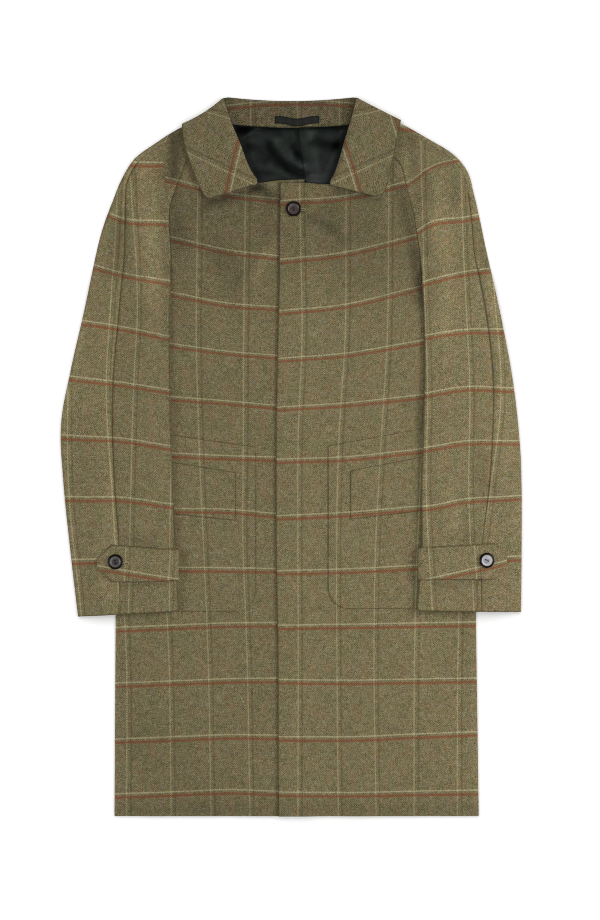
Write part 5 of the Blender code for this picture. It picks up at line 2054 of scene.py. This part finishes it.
def horn(tone):
    """Streaked horn in the tone of one button, with a lighter ring in its dish, a painted highlight, and a
    near-black rim.
    """
    material, shader, pattern = new_material(tone.name, HORN_SMOOTH, HORN_SHINE)
    x, y = pattern.axes(pattern.object_place())
    along = pattern.sum("MULTIPLY", x, 1.0 / (STREAK_LENGTH * MM))
    across = pattern.sum("MULTIPLY", y, 1.0 / (STREAK_WIDTH * MM))
    streaks = pattern.grained(along, across, STREAK_GRAIN)
    grain = pattern.grained(along, across, POLISH_GRAIN)
    colour = pattern.mix(pattern.level(streaks, STREAK_DARK, STREAK_MID), tone.dark, tone.mid)
    colour = pattern.mix(pattern.level(streaks, STREAK_MID, STREAK_LIGHT), colour, tone.light)
    from_middle = pattern.stored(FROM_MIDDLE)
    # Painted highlight: a lighter ring in the dish
    ring = pattern.level(from_middle, RING_INSIDE, RING_OUTSIDE, 0.0, PAINTED_RING_HIGHLIGHT)
    colour = pattern.mix(ring, colour, tone.ring)
    colour = pattern.mix(pattern.level(from_middle, RIM_INSIDE, RIM_OUTSIDE), colour, HORN_RIM)
    shine = pattern.level(from_middle, RIM_INSIDE, RIM_OUTSIDE, HORN_SHINE, RIM_SHINE)
    pattern.put(shader.inputs["Specular IOR Level"], shine)
    pattern.put(shader.inputs["Base Color"], colour)
    roughened(shader, pattern, grain, HORN_SMOOTH, HORN_ROUGH)
    bumped(shader, pattern, streaks, HORN_RELIEF)
    return material


# Thread: its colours, and the length of one turn of its twist
ThreadTone = namedtuple("ThreadTone", "name dark light turn")
SEWING_THREAD = ThreadTone("sewing_thread", paint(15, 12, 10), paint(31, 26, 22), 3.0)
BUTTONHOLE_THREAD = ThreadTone("buttonhole_thread", paint(104, 100, 68), paint(172, 170, 128), 3.0)
# The slit: a dark sheet of painted shade where the cut's shade falls
BUTTONHOLE_SLIT_SHADE = ThreadTone("buttonhole_slit_shade", paint(16, 14, 11), paint(30, 26, 20), 2.0)
THREAD_ROUGHNESS = 0.7
THREAD_SPECULAR = 0.3
THREAD_WAVER = 1.5
THREAD_DETAIL = 1.0
THREAD_RELIEF = Relief(0.5, 0.0002)


@cache
def spun_thread(tone):
    """Twisted sewing thread."""
    material, shader, pattern = new_material(tone.name, THREAD_ROUGHNESS, THREAD_SPECULAR)
    twist = {
        "Vector": pattern.object_place(),
        "Scale": 1.0 / (tone.turn * MM),
        "Distortion": THREAD_WAVER,
        "Detail": THREAD_DETAIL,
    }
    wave = pattern.add("ShaderNodeTexWave", "Fac", twist, bands_direction="DIAGONAL")
    pattern.put(shader.inputs["Base Color"], pattern.mix(wave, tone.dark, tone.light))
    bumped(shader, pattern, wave, THREAD_RELIEF)
    return material


# Where each button is sewn: the height of its cloth, its turn and tilt, its buttonhole's place and slope
ButtonPlace = namedtuple("ButtonPlace", "name place height turn tilt hole_place hole_slope horn_tone")
BUTTON_PLACES = [
    ButtonPlace("top", TOP_BUTTON, right_front_height, -1.39, -0.10, (11.2, 357.0), 0.0, BROWN_HORN),
    ButtonPlace(
        "cuff_left", CUFF_BUTTON_LEFT, left_strap_height, -1.29, -0.08,
        (-243, -153.6), -0.05, BLACK_HORN),
    ButtonPlace(
        "cuff_right", CUFF_BUTTON_RIGHT, right_strap_height, -0.53, 0.14,
        (276.5, -149.8), 0.1, PAINTED_SHINE_HORN),
]

# The floor, the light and the camera

FLOOR_SIZE = 9.0
FLOOR_DROP = 0.3
FLOOR_SHADE = paint(249, 249, 249)
FLOOR_COLOUR = paint(252, 252, 252)
FLOOR_ROUGHNESS = 0.9
FLOOR_GRAIN = Grain(40.0, 2.0, 0.5, 0.0)
VIEW_X = 13.05
VIEW_Y = -5.075
VIEW_HEIGHT = 3500.0
VIEW_LONG_SIDE = 1334.0
VIEW_END = 100.0
SENSOR = 36.0
SHARP_FILTER = 1.0
SKY = 0.18
WHITE = (1.0, 1.0, 1.0, 1.0)
# Lights: places and sizes in metres, and how bright each makes a white floor under it
Lamp = namedtuple("Lamp", "name place size level")
COAT_LAMPS = [
    Lamp("overhead", (0.2, -0.35, 1.6), 1.2, 0.3),
    Lamp("from_right", (2.2, 0.5, 1.7), 1.5, 0.42),
    Lamp("from_left", (-2.2, -0.3, 1.6), 1.4, 0.2),
]
FLOOR_LAMP = Lamp("on_floor", (0.0, 0.6, 6.0), 12.5, 0.92)


def floor(pieces):
    """A pale floor, put into the collection of what the floor's own light lights."""
    start_modelling()
    bpy.ops.mesh.primitive_plane_add(size=FLOOR_SIZE, location=(0.0, 0.0, -FLOOR_DROP * MM))
    plane = bpy.context.object
    plane.name = "floor"
    bpy.ops.object.transform_apply(location=True, rotation=True, scale=True)
    material, shader, pattern = new_material("pale_floor", FLOOR_ROUGHNESS, 0.0)
    grain = pattern.noise(pattern.object_place(), FLOOR_GRAIN)
    pattern.put(shader.inputs["Base Color"], pattern.mix(grain, FLOOR_SHADE, FLOOR_COLOUR))
    plane.data.materials.append(material)
    pieces.objects.link(plane)


def soft_light(lamp, lit):
    """A round soft light aimed at the coat, which lights only one collection."""
    disc = bpy.data.lights.new(lamp.name, "AREA")
    disc.shape = "DISK"
    disc.size = lamp.size
    distance = Vector(lamp.place).length
    slant = lamp.place[2] / distance
    reach = (lamp.size / 2.0) ** 2
    disc.energy = lamp.level * math.pi ** 2 * (distance ** 2 + reach) / slant
    light = bpy.data.objects.new(lamp.name, disc)
    light.location = lamp.place
    light.rotation_euler = (-Vector(lamp.place)).to_track_quat("-Z", "Y").to_euler()
    light.visible_camera = False
    bpy.context.scene.collection.objects.link(light)
    light.light_linking.receiver_collection = lit


def studio(coat_pieces, floor_pieces):
    scene = bpy.context.scene
    scene.world = bpy.data.worlds.new("studio")
    scene.world.use_nodes = True
    sky = scene.world.node_tree.nodes["Background"]
    sky.inputs["Color"].default_value = WHITE
    sky.inputs["Strength"].default_value = SKY
    for lamp in COAT_LAMPS:
        soft_light(lamp, coat_pieces)
    soft_light(FLOOR_LAMP, floor_pieces)
    scene.view_settings.view_transform = "Standard"
    scene.cycles.denoising_prefilter = "NONE"
    scene.cycles.filter_width = SHARP_FILTER


def camera():
    lens = bpy.data.cameras.new("camera")
    lens.sensor_width = SENSOR
    lens.lens = SENSOR * VIEW_HEIGHT / VIEW_LONG_SIDE
    lens.clip_end = VIEW_END
    viewer = bpy.data.objects.new("camera", lens)
    viewer.location = (VIEW_X * MM, VIEW_Y * MM, VIEW_HEIGHT * MM)
    bpy.context.scene.collection.objects.link(viewer)
    bpy.context.scene.camera = viewer


# How light or dark each piece of tweed is made: painted light and painted shade for how the light falls on
# it
PAINTED_LIGHT_TONES = {
    "back": 1.06,
    "front_left": 1.0,
    "front_right": 1.07,
    "sleeve_front_left": 1.06,
    "sleeve_front_right": 1.19,
    "sleeve_back_left": 1.265,
    "sleeve_back_right": 1.27,
    "collar_fall": 0.94,
    "collar_stand": 0.64,
    "pocket_patch_left": 1.01,
    "pocket_patch_right": 1.08,
    "pocket_welt_left": 1.01,
    "pocket_welt_right": 1.08,
    "cuff_strap_left": 1.07,
    "cuff_strap_right": 1.15,
}

# What each piece was cut to in metres, its flat area in square metres, and what it lies on
Cut = namedtuple("Cut", "width length area rests_on")

coat_pieces = bpy.data.collections.new("coat_pieces")
floor_pieces = bpy.data.collections.new("floor_pieces")
camera()
studio(coat_pieces, floor_pieces)
floor(floor_pieces)
pieces = {"back": back()}
pieces["front_left"] = front(
    "left", -1, SLEEVE_LEFT, NECK_LEFT, UNDER_EDGE, left_front_height, FRONT_LEFT_CHECK)
pieces["front_right"] = front(
    "right", 1, SLEEVE_RIGHT, NECK_RIGHT, LAP_EDGE, right_front_height, FRONT_RIGHT_CHECK)
for sleeve in (
    Sleeve("left", -1, SLEEVE_LEFT, SLEEVE_LEFT_CHECK, STRIP_LEFT_CHECK),
    Sleeve("right", 1, SLEEVE_RIGHT, SLEEVE_RIGHT_CHECK, STRIP_RIGHT_CHECK),
):
    pieces["sleeve_back_" + sleeve.side_name] = sleeve.back()
    pieces["sleeve_front_" + sleeve.side_name] = sleeve.front()
pieces["collar_fall"] = collar_fall()
pieces["collar_stand"] = collar_stand()
pieces["hanger_loop"] = hanger_loop()
pieces["lining_left"], pieces["lining_right"] = linings()
for side_name, side, patch, welt, check in (
    ("left", -1, POCKET_LEFT, WELT_LEFT, FRONT_LEFT_CHECK),
    ("right", 1, POCKET_RIGHT, WELT_RIGHT, FRONT_RIGHT_CHECK),
):
    patch_piece, welt_piece = pocket(side_name, side, patch, welt, check)
    pieces["pocket_patch_" + side_name] = patch_piece
    pieces["pocket_welt_" + side_name] = welt_piece
pieces["cuff_strap_left"] = strap("left", -1, STRAP_LEFT, STRAP_LEFT_CHECK)
pieces["cuff_strap_right"] = strap("right", 1, STRAP_RIGHT, STRAP_RIGHT_CHECK)
buttons()
for piece in bpy.context.scene.objects:
    if piece.type == "MESH" and piece.name != "floor":
        coat_pieces.objects.link(piece)
